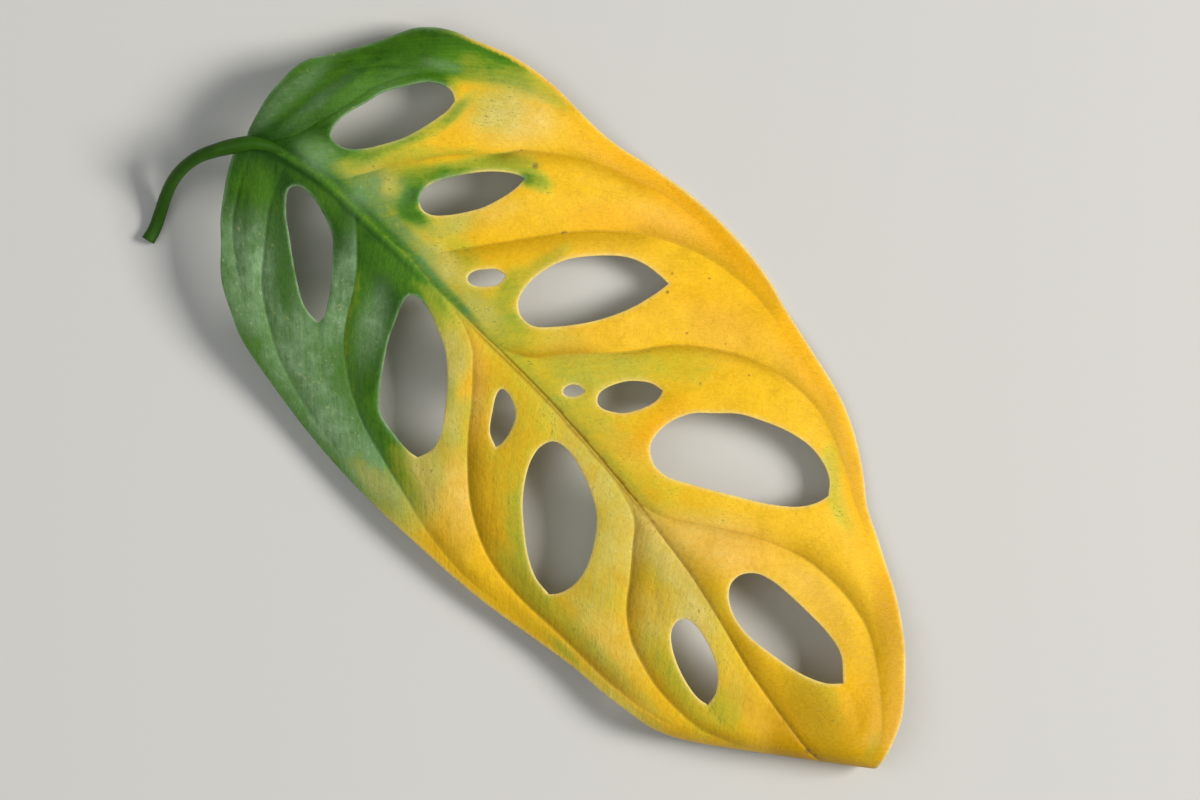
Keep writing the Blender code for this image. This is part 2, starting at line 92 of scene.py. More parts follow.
# Rows of points: the gap between a rim or vein and the row beside it, the rims' rounding in plan and its steps
# in degrees, and the steps at a dry mark. Points of a later row or of the grid keep a share of the mesh step
# away from the rows, and points closer than MERGE are one.
ROW_GAP = 0.4
RIM_ROUND, RIM_STEPS = 0.16, (50.0, 0.0, -50.0)
MARK_STEP, MARK_REACH = 0.18, 6
ROW_CLEAR, GRID_CLEAR, MERGE = 0.3, 0.45, 1e-5

# How near a point has to be for its distance to a hole, a side vein, a fine vein or the rim to be worked out
# closely, the number that stands for greater distances, and the most distances that are held at a time
HOLE_REACH, VEIN_REACH, FINE_REACH, RIM_REACH = 4.0, 16.0, 6.0, 3.0
FAR = 99.0
TABLE_SIZE = 1_200_000

# The margin of the wider side from the base to the tip, and of the narrower side from there back to the base,
# as they lie before the tip is bent down
UPPER_MARGIN = [
    (0.5, 2.2), (-0.9, 4.2), (-1.9, 7.1), (-3.3, 12.9), (-3.5, 19.2), (-2.9, 22.5), (-0.4, 26.7),
    (2.3, 31.3), (4.4, 35.4), (6.3, 39.6), (7.5, 42.1), (10, 45), (13.3, 47.3), (17.5, 49.1), (25.8, 52.4),
    (35, 54), (45, 54), (50, 54.2), (55, 55), (60, 56.25), (65, 57.25), (70, 58), (77.5, 58.5), (85, 58.3),
    (90, 57.75), (95, 56.8), (100, 55.3), (110, 53), (120, 50.6), (125, 48.6), (130, 45.9), (135, 42.5),
    (140, 38.6), (145, 36.1), (150, 33.5), (155, 31), (160, 27.9), (165, 24.1), (170, 19.1), (174.3, 14),
    (176.4, 9.7), (177.4, 6.9), (178.3, 3.9), (179.4, 0.6), (180.2, -2.6), (181, -7.4),
]
LOWER_MARGIN = [
    (181, -7.4), (176, -9.8), (170, -12.5), (163, -15.3), (157, -17.4), (152, -19.3), (146, -21.9),
    (140.3, -23.4), (135, -24.2), (130, -24.9), (120, -25.8), (110, -27.4), (100, -29), (90, -30),
    (80, -30.5), (70, -30.9), (60, -30.75), (50, -30), (40, -28.6), (30.3, -26.9), (26.2, -25.8),
    (22, -23.8), (17.8, -21.7), (14.9, -19.6), (10.8, -15.4), (7.4, -12.1), (4.5, -8.3), (2, -4.6),
    (0.1, -1), (-0.4, 0.9), (0.5, 2.2),
]

# Each hole starts and ends at its pointed end
HOLES = [
    [(23.8, 37.7), (24.1, 35.4), (23.8, 32.9), (22.9, 28.8), (21.7, 25), (20, 21.7), (17.9, 18.3),
     (15.4, 15.8), (13.3, 15), (11.5, 15.3), (10.4, 17.9), (10.6, 21.3), (11.5, 24.6), (12.5, 28.8),
     (14.6, 32.5), (17.1, 36.3), (20, 38.3), (22.1, 38.6), (23.8, 37.7)],
    [(44.7, 36.6), (44.8, 34.2), (44.2, 30.8), (42.9, 26.7), (41.3, 23.8), (39.2, 20.8), (36.7, 18.3),
     (34.6, 17.8), (32.7, 19), (32.1, 20.8), (32.5, 23.3), (35.4, 28.3), (37.9, 31.7), (40.4, 34.2),
     (42.9, 36), (44.7, 36.6)],
    [(55.7, 20.3), (56, 19), (55.8, 17.5), (54.6, 16), (53.1, 14.6), (51.9, 14.1), (50.9, 14.3),
     (50.5, 15.2), (50.9, 16.7), (52.1, 18.3), (53.5, 19.7), (55.7, 20.3)],
    [(79.9, 42.1), (79.5, 39.2), (78, 33.3), (75, 26.9), (70.8, 21), (67.1, 17.2), (65.2, 16.6),
     (63, 16.9), (61.2, 18.4), (60.3, 21), (60.3, 25.4), (61.9, 30.6), (65, 35), (70, 39.8), (73.5, 41.4),
     (77.1, 42), (79.9, 42.1)],
    [(83.3, 15.1), (83.1, 13.8), (82.3, 12.5), (81.2, 11.8), (80.3, 11.9), (80, 12.8), (80.5, 14.1),
     (81.7, 15), (83.3, 15.1)],
    [(94.2, 26.1), (94.7, 24.8), (94.5, 22.5), (92.1, 17.7), (90, 16), (88.1, 15.1), (86.8, 15.2),
     (85.8, 16.4), (85.8, 18.2), (87.5, 21.9), (89.4, 24), (91.7, 25.6), (94.2, 26.1)],
    [(132.6, 34.7), (132.1, 32.5), (130, 29.1), (125.8, 25.5), (119.2, 21.4), (111.2, 16.8), (107.1, 14.7),
     (104.2, 14.4), (101.9, 15.2), (100.2, 16.8), (99.5, 19.5), (99.8, 22.9), (101.6, 27), (104.8, 30.3),
     (108.3, 33.6), (112.5, 35.9), (117.5, 38), (122.9, 39.1), (127.6, 38.5), (130.6, 37), (132.6, 34.7)],
    [(161.2, 10.25), (158.8, 7.9), (154.2, 5.8), (147.5, 4.4), (141, 3.7), (136.7, 4.3), (133.2, 6),
     (131.3, 8.3), (131.3, 11), (133.2, 13.4), (136.7, 14.7), (145, 15.25), (152, 15.1), (156.7, 14),
     (161.2, 10.25)],
    [(36, -12.8), (34, -12.9), (31.6, -12.5), (29.1, -11.3), (22.8, -7.1), (19.5, -4.6), (16.6, -2.5),
     (14.1, 0), (13, 1.8), (13.5, 3.3), (15.3, 4), (17.8, 4), (20.3, 3.5), (23.3, 2.5), (26.2, 1),
     (28.7, -1.7), (32.4, -5.8), (34.5, -8.8), (35.8, -11.2), (36, -12.8)],
    [(69, -17.9), (67.3, -18.3), (62.5, -18), (57.5, -16.9), (55, -14.8), (50.8, -9.2), (48.3, -5.4),
     (46.6, -1.7), (45.1, 1.9), (45, 3.9), (46.8, 4.8), (50, 4.4), (53.3, 3.2), (57.5, 1.3), (62.1, -2.6),
     (66.2, -7.4), (69.2, -11.8), (69.9, -14.8), (69, -17.9)],
    [(78.6, -5.4), (78.9, -3.9), (78.3, -0.8), (76.9, 1.9), (74.6, 3.4), (72.9, 3.9), (71.2, 3.7),
     (71.2, 2.4), (72.9, -0.5), (75.8, -4.2), (78.6, -5.4)],
    [(107, -18.75), (102.9, -18.3), (98.8, -16.4), (94.2, -13), (90, -9.2), (86.9, -5.1), (85.3, -1.8),
     (84.9, 1.2), (86, 3.6), (88.8, 4.35), (92.1, 3.9), (97.5, 2.1), (102.5, -0.8), (106.2, -5.3),
     (108.6, -10.1), (109.1, -14), (108.3, -17), (107, -18.75)],
    [(145.1, -11.9), (142.5, -12.3), (137.3, -11.3), (132.2, -9), (129.6, -6.7), (128.9, -4.3),
     (129.9, -2.7), (131.9, -2.4), (136.5, -3.3), (141.2, -5.5), (144.4, -9), (145.1, -11.9)],
]

# The midrib, and the side veins from the midrib outwards until they run out along the margin
MIDRIB = [
    (0.5, 3.4), (5, 5.4), (10, 6.8), (15, 7.9), (20, 8.4), (30, 8.6), (40, 8.9), (50, 8.6), (60, 8.5),
    (75, 8.7), (85, 8.3), (95, 7.6), (105, 6.7), (115, 5.5), (125, 4), (135, 1.7), (145, -0.9),
    (155, -2.7), (165, -4.1), (172, -5.3), (178, -6.7),
]
VEINS = [
    [(3.5, 6.4), (6.3, 10.8), (7.5, 15.4), (9, 21.7), (10.3, 28), (12.6, 33.5), (15.8, 37.7), (20, 41.6),
     (24.2, 44.6), (28.3, 47.5), (32.5, 50), (38, 52.2)],
    [(13.5, 7.7), (16.3, 8.6), (19.2, 10.8), (21.3, 14.6), (23.8, 19.2), (26.7, 23.3), (30, 28.3),
     (33.8, 32.5), (37.9, 37.1), (40.4, 40.4), (45, 44.2), (50, 47.9), (55, 50.2), (60, 51.9), (67, 54.2),
     (76, 55.5)],
    [(34, 8.8), (37.5, 9.3), (40, 10.6), (42.9, 13.8), (48.3, 21.3), (53.3, 28.3), (57.8, 34.5),
     (62.5, 39.8), (67.5, 44.2), (72.5, 47.5), (80, 50.9), (87.5, 52.5), (95, 52.8), (102, 52)],
    [(62, 8.7), (65, 9.2), (67.9, 10.3), (71.3, 12.5), (75, 17.1), (80, 22.5), (84.2, 27.3), (87.9, 32.5),
     (92.1, 36.7), (95.8, 39.4), (101.7, 42.9), (109.2, 45.1), (117.5, 45.6), (122.9, 44.5), (130, 41.6),
     (136.7, 37.9), (142, 35.4)],
    [(103, 7), (107, 7.2), (110.5, 7.8), (113.3, 9.1), (116.7, 11.4), (120, 13.5), (125.8, 17.3),
     (131.7, 20.2), (138.3, 22.4), (145, 23.1), (150, 22.9), (156.7, 21.4), (163.3, 17.7), (170, 12.3),
     (173.8, 8.4), (176, 3.7)],
    [(2.6, 1.4), (5, -3.6), (7.4, -7.6), (9.5, -10.6), (12.4, -13.4), (14.9, -15.4), (19.5, -18.8),
     (25, -22)],
    [(9, 5), (11, 0), (13, -3.8), (17.8, -10), (22, -15), (26.2, -18.3), (30.3, -20.8), (35, -23.3),
     (40, -25), (45, -26.3), (50, -27.3), (57, -28.4)],
    [(25.5, 8.1), (27.3, 6.4), (29.8, 4.2), (33.1, 0.9), (35.8, -2.5), (40, -9.2), (42.8, -12.5),
     (47, -15.8), (52, -18.8), (57.5, -21.2), (63.3, -22.8), (70, -24.5), (76.7, -26.1), (84.2, -27.4),
     (92, -27.9), (100, -27.1)],
    [(50, 8.4), (54, 8), (57.5, 7.2), (61.7, 5.1), (65, 1.8), (69.2, -2.8), (72.9, -7.4), (77.5, -12.2),
     (82.5, -16.6), (87.5, -19.7), (92.5, -21.8), (97.5, -22.9), (105, -23.3), (113.3, -22.9),
     (120, -22.8), (127.9, -22.6), (135, -21.7), (142, -20)],
    [(96, 7.3), (102, 6.2), (106.5, 5), (109.2, 3.4), (111.7, 0.4), (116.2, -4.9), (120.1, -9.8),
     (125.1, -13.5), (130, -15.3), (135.6, -16.6), (142.5, -16.8), (147.6, -16.2), (152.4, -14.6),
     (158, -12.4)],
]

# Fainter veins, which run on from the holes' pointed ends or lie between two side veins
FINE_VEINS = [
    [(23.8, 37.9), (28, 41), (33, 44.5), (38.5, 47.8)],
    [(44.9, 36.8), (49, 40.5), (54, 44), (60, 47.5)],
    [(79.9, 42.2), (83.3, 45.2), (89.2, 48.3), (96, 50)],
    [(94.5, 26.3), (98.5, 32), (103, 36.8), (109, 41)],
    [(132.7, 34.8), (137, 34.6), (142, 33), (147.5, 30)],
    [(161.5, 10.2), (165.5, 9), (169.5, 6.2)],
    [(36.2, -13), (40, -16.5), (45.5, -20.5), (52, -24)],
    [(69.2, -18.2), (75, -21), (82, -23.8)],
    [(78.8, -5.6), (82, -10), (86.5, -14.5)],
    [(107.3, -19), (112.5, -20), (119, -20.5)],
    [(145.3, -12.1), (149, -12.6), (152.5, -12)],
    [(62, 11), (71, 18), (79.5, 28.5), (87, 38.5), (96, 46)],
    [(94, 9.2), (99, 12), (103.5, 12.8)],
    [(117, 7), (123, 13), (131, 17.4), (142, 19.2), (153, 18.6)],
    [(4.2, 1), (8.5, -6.5), (13, -11.5), (18.5, -16.4), (24, -19.8)],
    [(20, 7.6), (26, 5), (31, -1), (36.5, -9), (40.5, -13.8)],
    [(116, 4.2), (120, -1.5), (125, -6)],
    [(88, 29), (95, 33), (101, 38.5)],
    [(0.8, 5), (1.4, 7.4), (1.7, 12), (2.1, 17), (3.2, 22.5), (5, 27.5), (7.6, 31.8), (10.8, 36)],
]

# The stalk's path as (s, t, height, share of the stalk's radius), from its cut end into the blade's base
STALK = [
    (-0.2, -25.6, 1.2, 1.04), (-0.9, -23, 1.25, 0.98), (-2.3, -20, 2.1, 0.96), (-3.8, -16.8, 4.3, 0.94),
    (-4.9, -13.4, 7.2, 0.94), (-5.1, -9.8, 10.3, 0.94), (-4.4, -6.3, 12.9, 0.96), (-2.9, -3.2, 14.7, 1.05),
    (-0.9, 0.1, 15.8, 1.16), (1.4, 3.2, 16, 1.08), (4.6, 5.2, 15.7, 0.87), (8.5, 6.4, 15.3, 0.76),
    (14, 7.7, 14.95, 0.68), (20, 8.4, 14.5, 0.61), (26, 8.6, 13.9, 0.45),
]

# Soft-edged ovals that are painted over one another: middle s and t, half length, half width, turn in degrees
# from the s axis, and the value painted. Two more numbers keep an oval to one side of a side vein: the vein's
# place in VEINS, and 1 for its left or -1 for its right, seen from the midrib outwards.

# How much green is left, from 0 in the yellow part to 1 at the base
# The darkest green oval just right of the lobe's outermost fine vein is painted shade, on the bank that faces
# away from the light
GREEN_PATCHES = [
    (6, 8, 9, 5, 20, 0.97), (9, 40, 11, 8, 50, 0.9), (19, 43.5, 5, 3, 30, 0.8), (24, 46.5, 8, 3, 30, 0.66),
    (30, 49.5, 8, 2.4, 22, 0.58), (37, 52, 5, 1.6, 8, 0.42), (31, 42.5, 6, 5, 40, 0.36),
    (25.5, 36, 1.3, 5, 0, 0.56), (20.5, 22, 8, 1.4, 62, 0.56), (1.5, 20, 14, 3, 84, 0.9),
    (4.6, 20, 12, 1.2, 80, 0.97), (13, 11.5, 5, 3, 20, 0.74), (19, 14, 5, 2.2, 52, 0.55, 1, 1),
    (24.5, 22, 7, 2, 58, 0.42, 1, 1), (24, 13.5, 7, 5, 40, 0.64, 1, -1),
    (28.5, 19, 3.5, 5, 0, 0.54, 1, -1), (26.5, 17, 1.4, 2.6, 20, 0.46), (31.6, 18.2, 2.2, 4.6, 15, 0.86),
    (34.5, 15.6, 6, 2, 15, 0.78), (32, 11.5, 12, 2.4, 2, 0.7), (45, 12, 8, 3, 0, 0.56),
    (55, 12, 7, 3, 0, 0.44), (64, 12.5, 7, 3.6, 0, 0.44), (30, 9.3, 18, 1.7, 0, 0.82),
    (50, 9.7, 15, 1.1, -1, 0.7), (33, 26, 9, 2.4, 52, 0.66, 1, -1), (39.5, 36, 7, 2.4, 45, 0.54, 1, -1),
    (38.5, 37, 2.6, 0.8, 48, 0.76, 1, -1), (45.3, 37.5, 5, 2.2, 22, 0.54), (45, 36.8, 1.6, 1.3, 20, 0.7),
    (41, 20, 6, 2.4, 58, 0.38), (47, 16, 4, 5, 60, 0.36), (58.3, 19, 2.5, 5, 15, 0.5),
    (59.5, 27, 1.8, 8, -8, 0.4), (64, 15.2, 6, 1.6, 0, 0.5), (72, 18, 6, 4, 50, 0.3),
    (79, 17, 6.5, 7.5, 50, 0.44, 3, -1), (86, 25, 10, 5, 50, 0.36, 3, -1), (94, 33, 8, 5, 40, 0.28, 3, -1),
    (88, 12.5, 10, 3, 0, 0.32), (85, 9.3, 28, 1.2, -3, 0.4), (130, 38.5, 7, 3, -40, 0.36),
    (137, 34.5, 7, 2, -20, 0.34), (160, 4, 12, 5, -25, 0.3), (174.5, 5.5, 1.6, 4, 15, 0.42),
    (4, 2, 9, 5, 0, 1), (8, -3, 6, 4.5, -40, 0.8), (22, 6, 14, 2.6, 2, 0.88), (38, 5.5, 10, 3.2, 0, 0.84),
    (49, 6.5, 5, 1.2, 0, 0.58), (19, -10, 9, 2.2, -50, 0.86, 6, 1), (40, -6, 11, 3.4, -55, 0.74, 7, 1),
    (60, -19, 10.5, 3.6, -22, 0.77, 7, 1), (71, -22, 7, 2.4, -18, 0.58, 7, 1),
    (67, -27.5, 9.5, 3.4, 2, 0.56, 7, -1), (66, -1, 8, 2, -48, 0.14, 8, -1),
    (69, -2, 12, 3.2, -48, 0.06, 8, 1), (80, -18, 10, 3.2, -38, 0.1, 8, -1),
    (59, 2.5, 5.5, 2.6, -35, 0.42), (68, -8, 2.8, 8, -20, 0.38), (71, -17, 6, 4.5, -40, 0.42),
    (96, -14, 12, 4, -38, 0.46, 8, 1), (104, -20.5, 12, 2.4, -5, 0.46, 8, 1),
    (124, -20.5, 16, 2, 0, 0.34, 8, 1), (106, -2, 10, 5, -50, 0.3), (113, -11, 6, 8, 10, 0.3),
    (100, 5.5, 18, 1.8, -8, 0.34), (122, 2, 14, 3.2, -14, 0.38, 9, 1), (126, -6, 3, 6, 20, 0.24),
    (137, -13, 10, 2.6, -12, 0.36), (148, -9, 4, 5, 20, 0.33), (130, -24, 24, 2.2, 3, 0.28, 8, -1),
    (117, -24.5, 4, 0.8, 0, 0.46, 8, -1),
]

# Pale wax on the panels between the veins, with a painted sheen: the ovals lie where the panels reflect the sky
WAX_SHEEN_PATCHES = [
    (-0.5, 15, 12, 2, 86, 0.5), (4.6, 18, 8, 1.2, 84, 0.25), (11.5, 27, 9, 1.4, 76, 0.25),
    (17, 41, 4, 1.2, 35, 0.4), (13, 11, 5, 3, 10, 0.5), (25, 14, 6, 4.5, 40, 0.6),
    (32, 11.8, 11, 1.6, 0, 0.5), (45, 12.5, 8, 3, 0, 0.6), (57, 12, 6, 3, 0, 0.4), (34, 44, 9, 6, 40, 0.7),
    (43, 24, 10, 2.5, 62, 0.4), (16, -14, 12, 6, -45, 0.9), (35, -20, 18, 6.5, -15, 1),
    (58, -26, 18, 4.5, -5, 0.95), (44, -6, 8, 3, -60, 0.7, 7, 1), (36, -6.5, 13, 3.2, -58, 0.9, 7, -1),
    (25, -11.5, 9, 1.6, -40, 0.2), (6.5, -4, 6, 5, -45, 0), (60, 1, 6, 3.5, -45, 0.8),
    (80, -18, 10, 3, -38, 0.4, 8, -1), (69, -10, 8, 3, -70, 0.6), (72, -19, 7, 5, -30, 0.6),
    (100, 4, 16, 3, -12, 0.6), (125, -7, 6, 4, -40, 0.4), (110, -3, 10, 5, -60, 0.6),
    (122, 2, 13, 3, -14, 0.9), (84, 19, 10, 7, 50, 0.15), (130, -2, 5, 2.4, 0, 0.7),
    (122, 12, 12, 6, 35, 0.35), (140, 19, 14, 4, 10, 0.15), (68, -22, 9, 2.2, -18, 0, 7, 1),
    (120, -16, 12, 4, -10, 0.45), (135, -24, 12, 1.4, 6, 0.3),
]

# Orange gold outside the veins that run along the margin, and towards the tip
GOLD_PATCHES = [
    (62, 54, 18, 3.5, 10, 0.8), (72, 49, 12, 3.5, 30, 0.7, 2, 1), (62, 43, 8, 3, 45, 0.6),
    (85, 55.5, 22, 3, 0, 0.9), (110, 50.5, 22, 3.2, -12, 0.7), (92, 46, 12, 5, 15, 0.4),
    (135, 39.5, 14, 3, -36, 0.6), (158, 27, 12, 3, -40, 0.8), (173, 13, 9, 3, -60, 0.9),
    (98.5, 20, 2.5, 8, 0, 0.7), (125, 8, 12, 4, 30, 0.3), (128, 15, 8, 4, 30, 0.3),
    (165, -8, 12, 4, -35, 0.8), (38, 47, 7, 5, 10, 0), (168, 10, 6, 8, 20, 0.5),
]

# Peach: a paler yellow, partly the blade's own tone and partly painted light on the banks that face the key
# light
PEACH_PATCHES = [
    (117, 9, 9, 3.5, 30, 0.8), (127, 13.5, 9, 6, 35, 0.8), (141, 18.5, 10, 3, 8, 0.3),
    (152, 16.5, 8, 3, -25, 0.35), (130, 0, 10, 2, -16, 0.3), (73, 20, 5, 5, 50, 0.4),
    (98, 13, 9, 3, 5, 0.3), (72, 34, 12, 10, 45, 0.25), (150, -6, 14, 2.5, -15, 0.4),
    (80, -17, 10, 3, -38, 0.5, 8, -1), (130, -22, 14, 2, 5, 0.4), (70, 51, 8, 3, 20, 0.45),
    (95, 43, 9, 6, 30, 0.4), (108, 47, 8, 2.5, -5, 0.3), (78, -22, 9, 2.5, -18, 0.35),
    (68, -1, 10, 2.8, -48, 0.8, 8, 1),
]

# Bands beside the veins: the vein's place in VEINS (or -1 for the midrib), its side as above, where along the
# vein the band starts and ends, its width and its amount. Those of lime lie where the blade yellows first.
LIME_BANDS = [
    (7, 1, 0.12, 0.46, 1, 0.35), (6, 1, 0.55, 0.8, 0.8, 0.3), (1, 1, 0.08, 0.42, 1.4, 0.8),
]

# Darker ochre, in patches and in bands: partly the tissue's own darker tone beside the veins, and partly
# painted shade on the valley banks and the bent tip that face away from the key light
OCHRE_PATCHES = [
    (59, 28, 2.5, 7, 0, 0.3), (90, -27.3, 12, 1.5, -2, 0.25), (106, -25.5, 14, 1.4, 4, 0.3),
    (164, -7, 12, 5, -32, 0.9), (173, 1, 8, 8, 0, 0.8), (161, 2, 11, 5, -15, 0.9),
    (170, 10, 5, 9, 25, 0.5), (150, 18, 16, 3, -15, 0.35), (128, 4.5, 8, 2.6, -15, 0.6),
    (104, -21, 10, 2, -5, 0.4), (126, 44.5, 16, 2, -22, 0.5), (162, 22, 14, 4, -42, 0.8),
    (174, 9, 3, 8, 18, 0.6),
]
OCHRE_BANDS = [
    (1, -1, 0.45, 0.85, 2.2, 0.7), (1, 1, 0.1, 0.45, 1, 0.4), (2, -1, 0.16, 0.62, 3, 0.7),
    (1, 1, 0.6, 0.95, 1.6, 0.4), (2, 1, 0.58, 0.98, 2.4, 0.6), (3, 1, 0.62, 1, 2.2, 0.55),
    (3, 1, 0.05, 0.24, 1.8, 0.9), (3, -1, 0.28, 0.62, 1.5, 0.8), (4, -1, 0.1, 0.34, 1.5, 0.6),
    (4, 1, 0.42, 0.8, 3.2, 0.9), (4, 1, 0.8, 1, 2, 0.7), (8, 1, 0.29, 0.52, 3.6, 0.95),
    (8, 1, 0.5, 0.9, 2, 0.75), (9, 1, 0.14, 0.48, 3, 0.95), (9, 1, 0.46, 0.95, 2, 0.7),
    (-1, 1, 0.46, 0.62, 1.5, 0.6), (-1, 1, 0.6, 0.76, 2.8, 0.9), (-1, 1, 0.74, 1, 4, 1),
]

# Small dry marks: middle s and t, radius
SPOTS = [
    (57.8, 34.5, 0.7), (44.4, 39.9, 0.9), (40.2, 40.1, 0.4), (79, 44, 0.4), (81, 40.7, 0.5),
    (165.9, -4.4, 0.9), (167.6, -4, 0.5), (85, 48.6, 0.3), (96.5, 41.7, 0.3), (104.3, 40.5, 0.35),
    (89.5, 37.7, 0.35), (98.6, 32.4, 0.3),
]

# Where the green ends: for the wider side at some places of t, and for the narrower side at some distances from
# the midrib. Before that place FULL_GREEN is added, which fades over GREEN_FADE on both sides of it.
# TRACE_LEAST is left everywhere, and TRACE more at the midrib, falling over TRACE_WIDTH to both sides and
# between TRACE_ENDS towards the tip. A band of lime pulls the green towards HALF_GREEN.
WIDE_END = ([9, 12, 15, 20, 30, 36, 41, 44, 48, 53], [22, 22, 21, 22, 24, 24, 20, 22, 27, 31])
NARROW_END = ([0, 3, 8, 14, 18, 24, 40], [46, 47, 58, 64, 70, 74, 73])
GREEN_FADE, FULL_GREEN, HALF_GREEN = (3.5, 13.0), 0.74, 0.45
TRACE_LEAST, TRACE, TRACE_WIDTH, TRACE_ENDS = 0.06, (0.17, 0.20), (14.0, 24.0), (130.0, 170.0)

# The share of the underside's own colour, and the run of the side veins that the UV map follows: how far they
# slant back and bend with the distance from the midrib. The UV map's unit is 100 mm.
UNDER_SHARE = 0.45
VEIN_SLANT, VEIN_BEND, UV_UNIT = 0.62, 0.008, 100.0

# The floor's half width, the point under the camera and the camera's turn, and the lights, in metres and
# degrees. Each light has its name and its power's name in the stage's settings, its width, its place and its
# colour.
FLOOR_HALF = 3.0
CAMERA_PLACE, CAMERA_TURN = (0.00078, 0.002235, 0.012), 45.0
SKY_COLOUR = (0.94, 0.97, 1.0, 1.0)
LIGHTS = [
    ("key_light", "key", 0.7, (0.93, 1.02, 1.15), (1.0, 0.98, 0.95)),
    ("fill_light", "fill", 0.9, (-0.3, -0.45, 1.1), (0.93, 0.97, 1.0)),
]


def linear(hex_colour):
    """A colour written as sRGB hex, as the linear numbers that a shader takes, with full alpha."""
    value = np.array([int(hex_colour[i:i + 2], 16) for i in (1, 3, 5)]) / 255.0
    value = np.where(value <= 0.04045, value / 12.92, ((value + 0.055) / 1.055) ** 2.4)
    return (*value.tolist(), 1.0)


def colour_property(name, description, hex_colour):
    """A colour that the user can change, with a default written as sRGB hex."""
    return FloatVectorProperty(name=name, description=description, subtype="COLOR", size=4, min=0.0, max=1.0,
                               default=linear(hex_colour))


def length_property(name, description, millimetres):
    """A length that the user can change, kept in metres."""
    return FloatProperty(name=name, description=description, default=millimetres * MM, unit="LENGTH",
                         subtype="DISTANCE", min=0.0, precision=5)


class LeafShape(bpy.types.PropertyGroup):
    """The sizes of the leaf"""
    thickness: length_property("Thickness", "How thick the blade is", 0.6)
    step: length_property("Mesh Step", "Distance between the blade's points", 0.53)
    stalk_radius: length_property("Stalk Radius", "Radius of the round stalk", 1.35)
    crest_base: length_property("Crest at Base", "Height of the midrib at the base", 17.0)
    crest_tip: length_property("Crest at Tip", "Height of the midrib at the bend", 12.6)
    vein_depth: length_property("Vein Depth", "How deep the valleys at the side veins are", 1.8)
    bend_radius: length_property("Bend Radius", "Radius of the bend near the tip", 5.0)
    bend_angle: FloatProperty(name="Bend Angle", description="How far the tip bends down", subtype="ANGLE",
                              default=math.radians(95.0), min=0.0, max=math.radians(120.0))


class LeafColours(bpy.types.PropertyGroup):
    """The colours of the leaf"""
    yellow: colour_property("Yellow", "Blade where the green has gone", "#EDBB1A")
    gold: colour_property("Gold", "Orange gold along the margin and at the tip", "#EDAA06")
    # Peach is partly the blade's own paler tone and partly painted light on banks that face the key light
    peach: colour_property("Peach", "Dry thin parts of the yellow blade", "#F0B84E")
    # Ochre is partly the tissue's own darker tone beside the veins and partly painted shade on the banks and
    # the tip that face away from the key light
    ochre: colour_property("Ochre", "Darker yellow beside the veins", "#B48A00")
    lime: colour_property("Lime", "Blade where a little green is left", "#D0BA2A")
    olive: colour_property("Olive", "Blade half way to yellow", "#A2AA2E")
    green: colour_property("Green", "Blade that is still green", "#4C7E14")
    deep_green: colour_property("Deep Green", "Darkest green, at the base", "#1B4402")
    # Cream and sage are the wax's pale bloom with a painted sheen, where the panels reflect the sky
    cream: colour_property("Cream", "Pale wax on the yellow part", "#DDC774")
    sage: colour_property("Sage", "Pale wax on the green part", "#86A678")
    speck: colour_property("Speck", "Small dull specks all over the blade", "#6E6424")
    # The rim's pale line is a painted highlight along the edges, and the same colour paints small glints on the
    # sage
    rim: colour_property("Rim", "Thin hard rim of the blade and its holes", "#F0D684")
    vein: colour_property("Vein", "Thin line at the bottom of a vein's valley", "#8C640C")
    spot: colour_property("Spot", "Small dry marks", "#6A5238")
    under: colour_property("Underside", "Dull pale green of the lower face", "#B9BC86")
    stalk: colour_property("Stalk", "The stalk's skin", "#3A6608")


class StageSettings(bpy.types.PropertyGroup):
    """The floor, the lights and the camera"""
    floor: colour_property("Floor", "The pale floor", "#D6D4CF")
    key: FloatProperty(name="Key Light", description="Power of the main soft light", default=32.0, min=0.0,
                       unit="POWER")
    fill: FloatProperty(name="Fill Light", description="Power of the second soft light", default=3.0, min=0.0,
                        unit="POWER")
    sky: FloatProperty(name="Sky", description="Strength of the even light from all round", default=0.22,
                       min=0.0)
    distance: length_property("Camera Distance", "From the camera to the leaf", 2200.0)
    view_width: length_property("View Width", "Width of the view at the leaf", 240.0)


def curve_through(points, step, samples=24):
    """A smooth open curve through the points (centripetal Catmull-Rom, with some samples between each two of
    them), cut into equal lengths of about the step."""
    pts = np.asarray(points, dtype=float)
    ends = np.vstack([2.0 * pts[0] - pts[1], pts, 2.0 * pts[-1] - pts[-2]])
    dense = []
    for i in range(1, len(ends) - 2):
        p0, p1, p2, p3 = ends[i - 1:i + 3]
        t1 = math.sqrt(np.linalg.norm(p1[:2] - p0[:2]))
        t2 = t1 + math.sqrt(np.linalg.norm(p2[:2] - p1[:2]))
        t3 = t2 + math.sqrt(np.linalg.norm(p3[:2] - p2[:2]))
        t = np.linspace(t1, t2, samples + 1)[:-1, None]
        a1 = p0 * (t1 - t) / t1 + p1 * t / t1
        a2 = p1 * (t2 - t) / (t2 - t1) + p2 * (t - t1) / (t2 - t1)
        a3 = p2 * (t3 - t) / (t3 - t2) + p3 * (t - t2) / (t3 - t2)
        b1 = a1 * (t2 - t) / t2 + a2 * t / t2
        b2 = a2 * (t3 - t) / (t3 - t1) + a3 * (t - t1) / (t3 - t1)
        dense.append(b1 * (t2 - t) / (t2 - t1) + b2 * (t - t1) / (t2 - t1))
    dense = np.vstack(dense + [pts[-1:]])
    lengths = np.concatenate([[0.0], np.cumsum(np.linalg.norm(np.diff(dense, axis=0), axis=1))])
    count = max(3, round(lengths[-1] / step))
    even = np.linspace(0.0, lengths[-1], count + 1)
    return np.column_stack([np.interp(even, lengths, dense[:, k]) for k in range(dense.shape[1])])


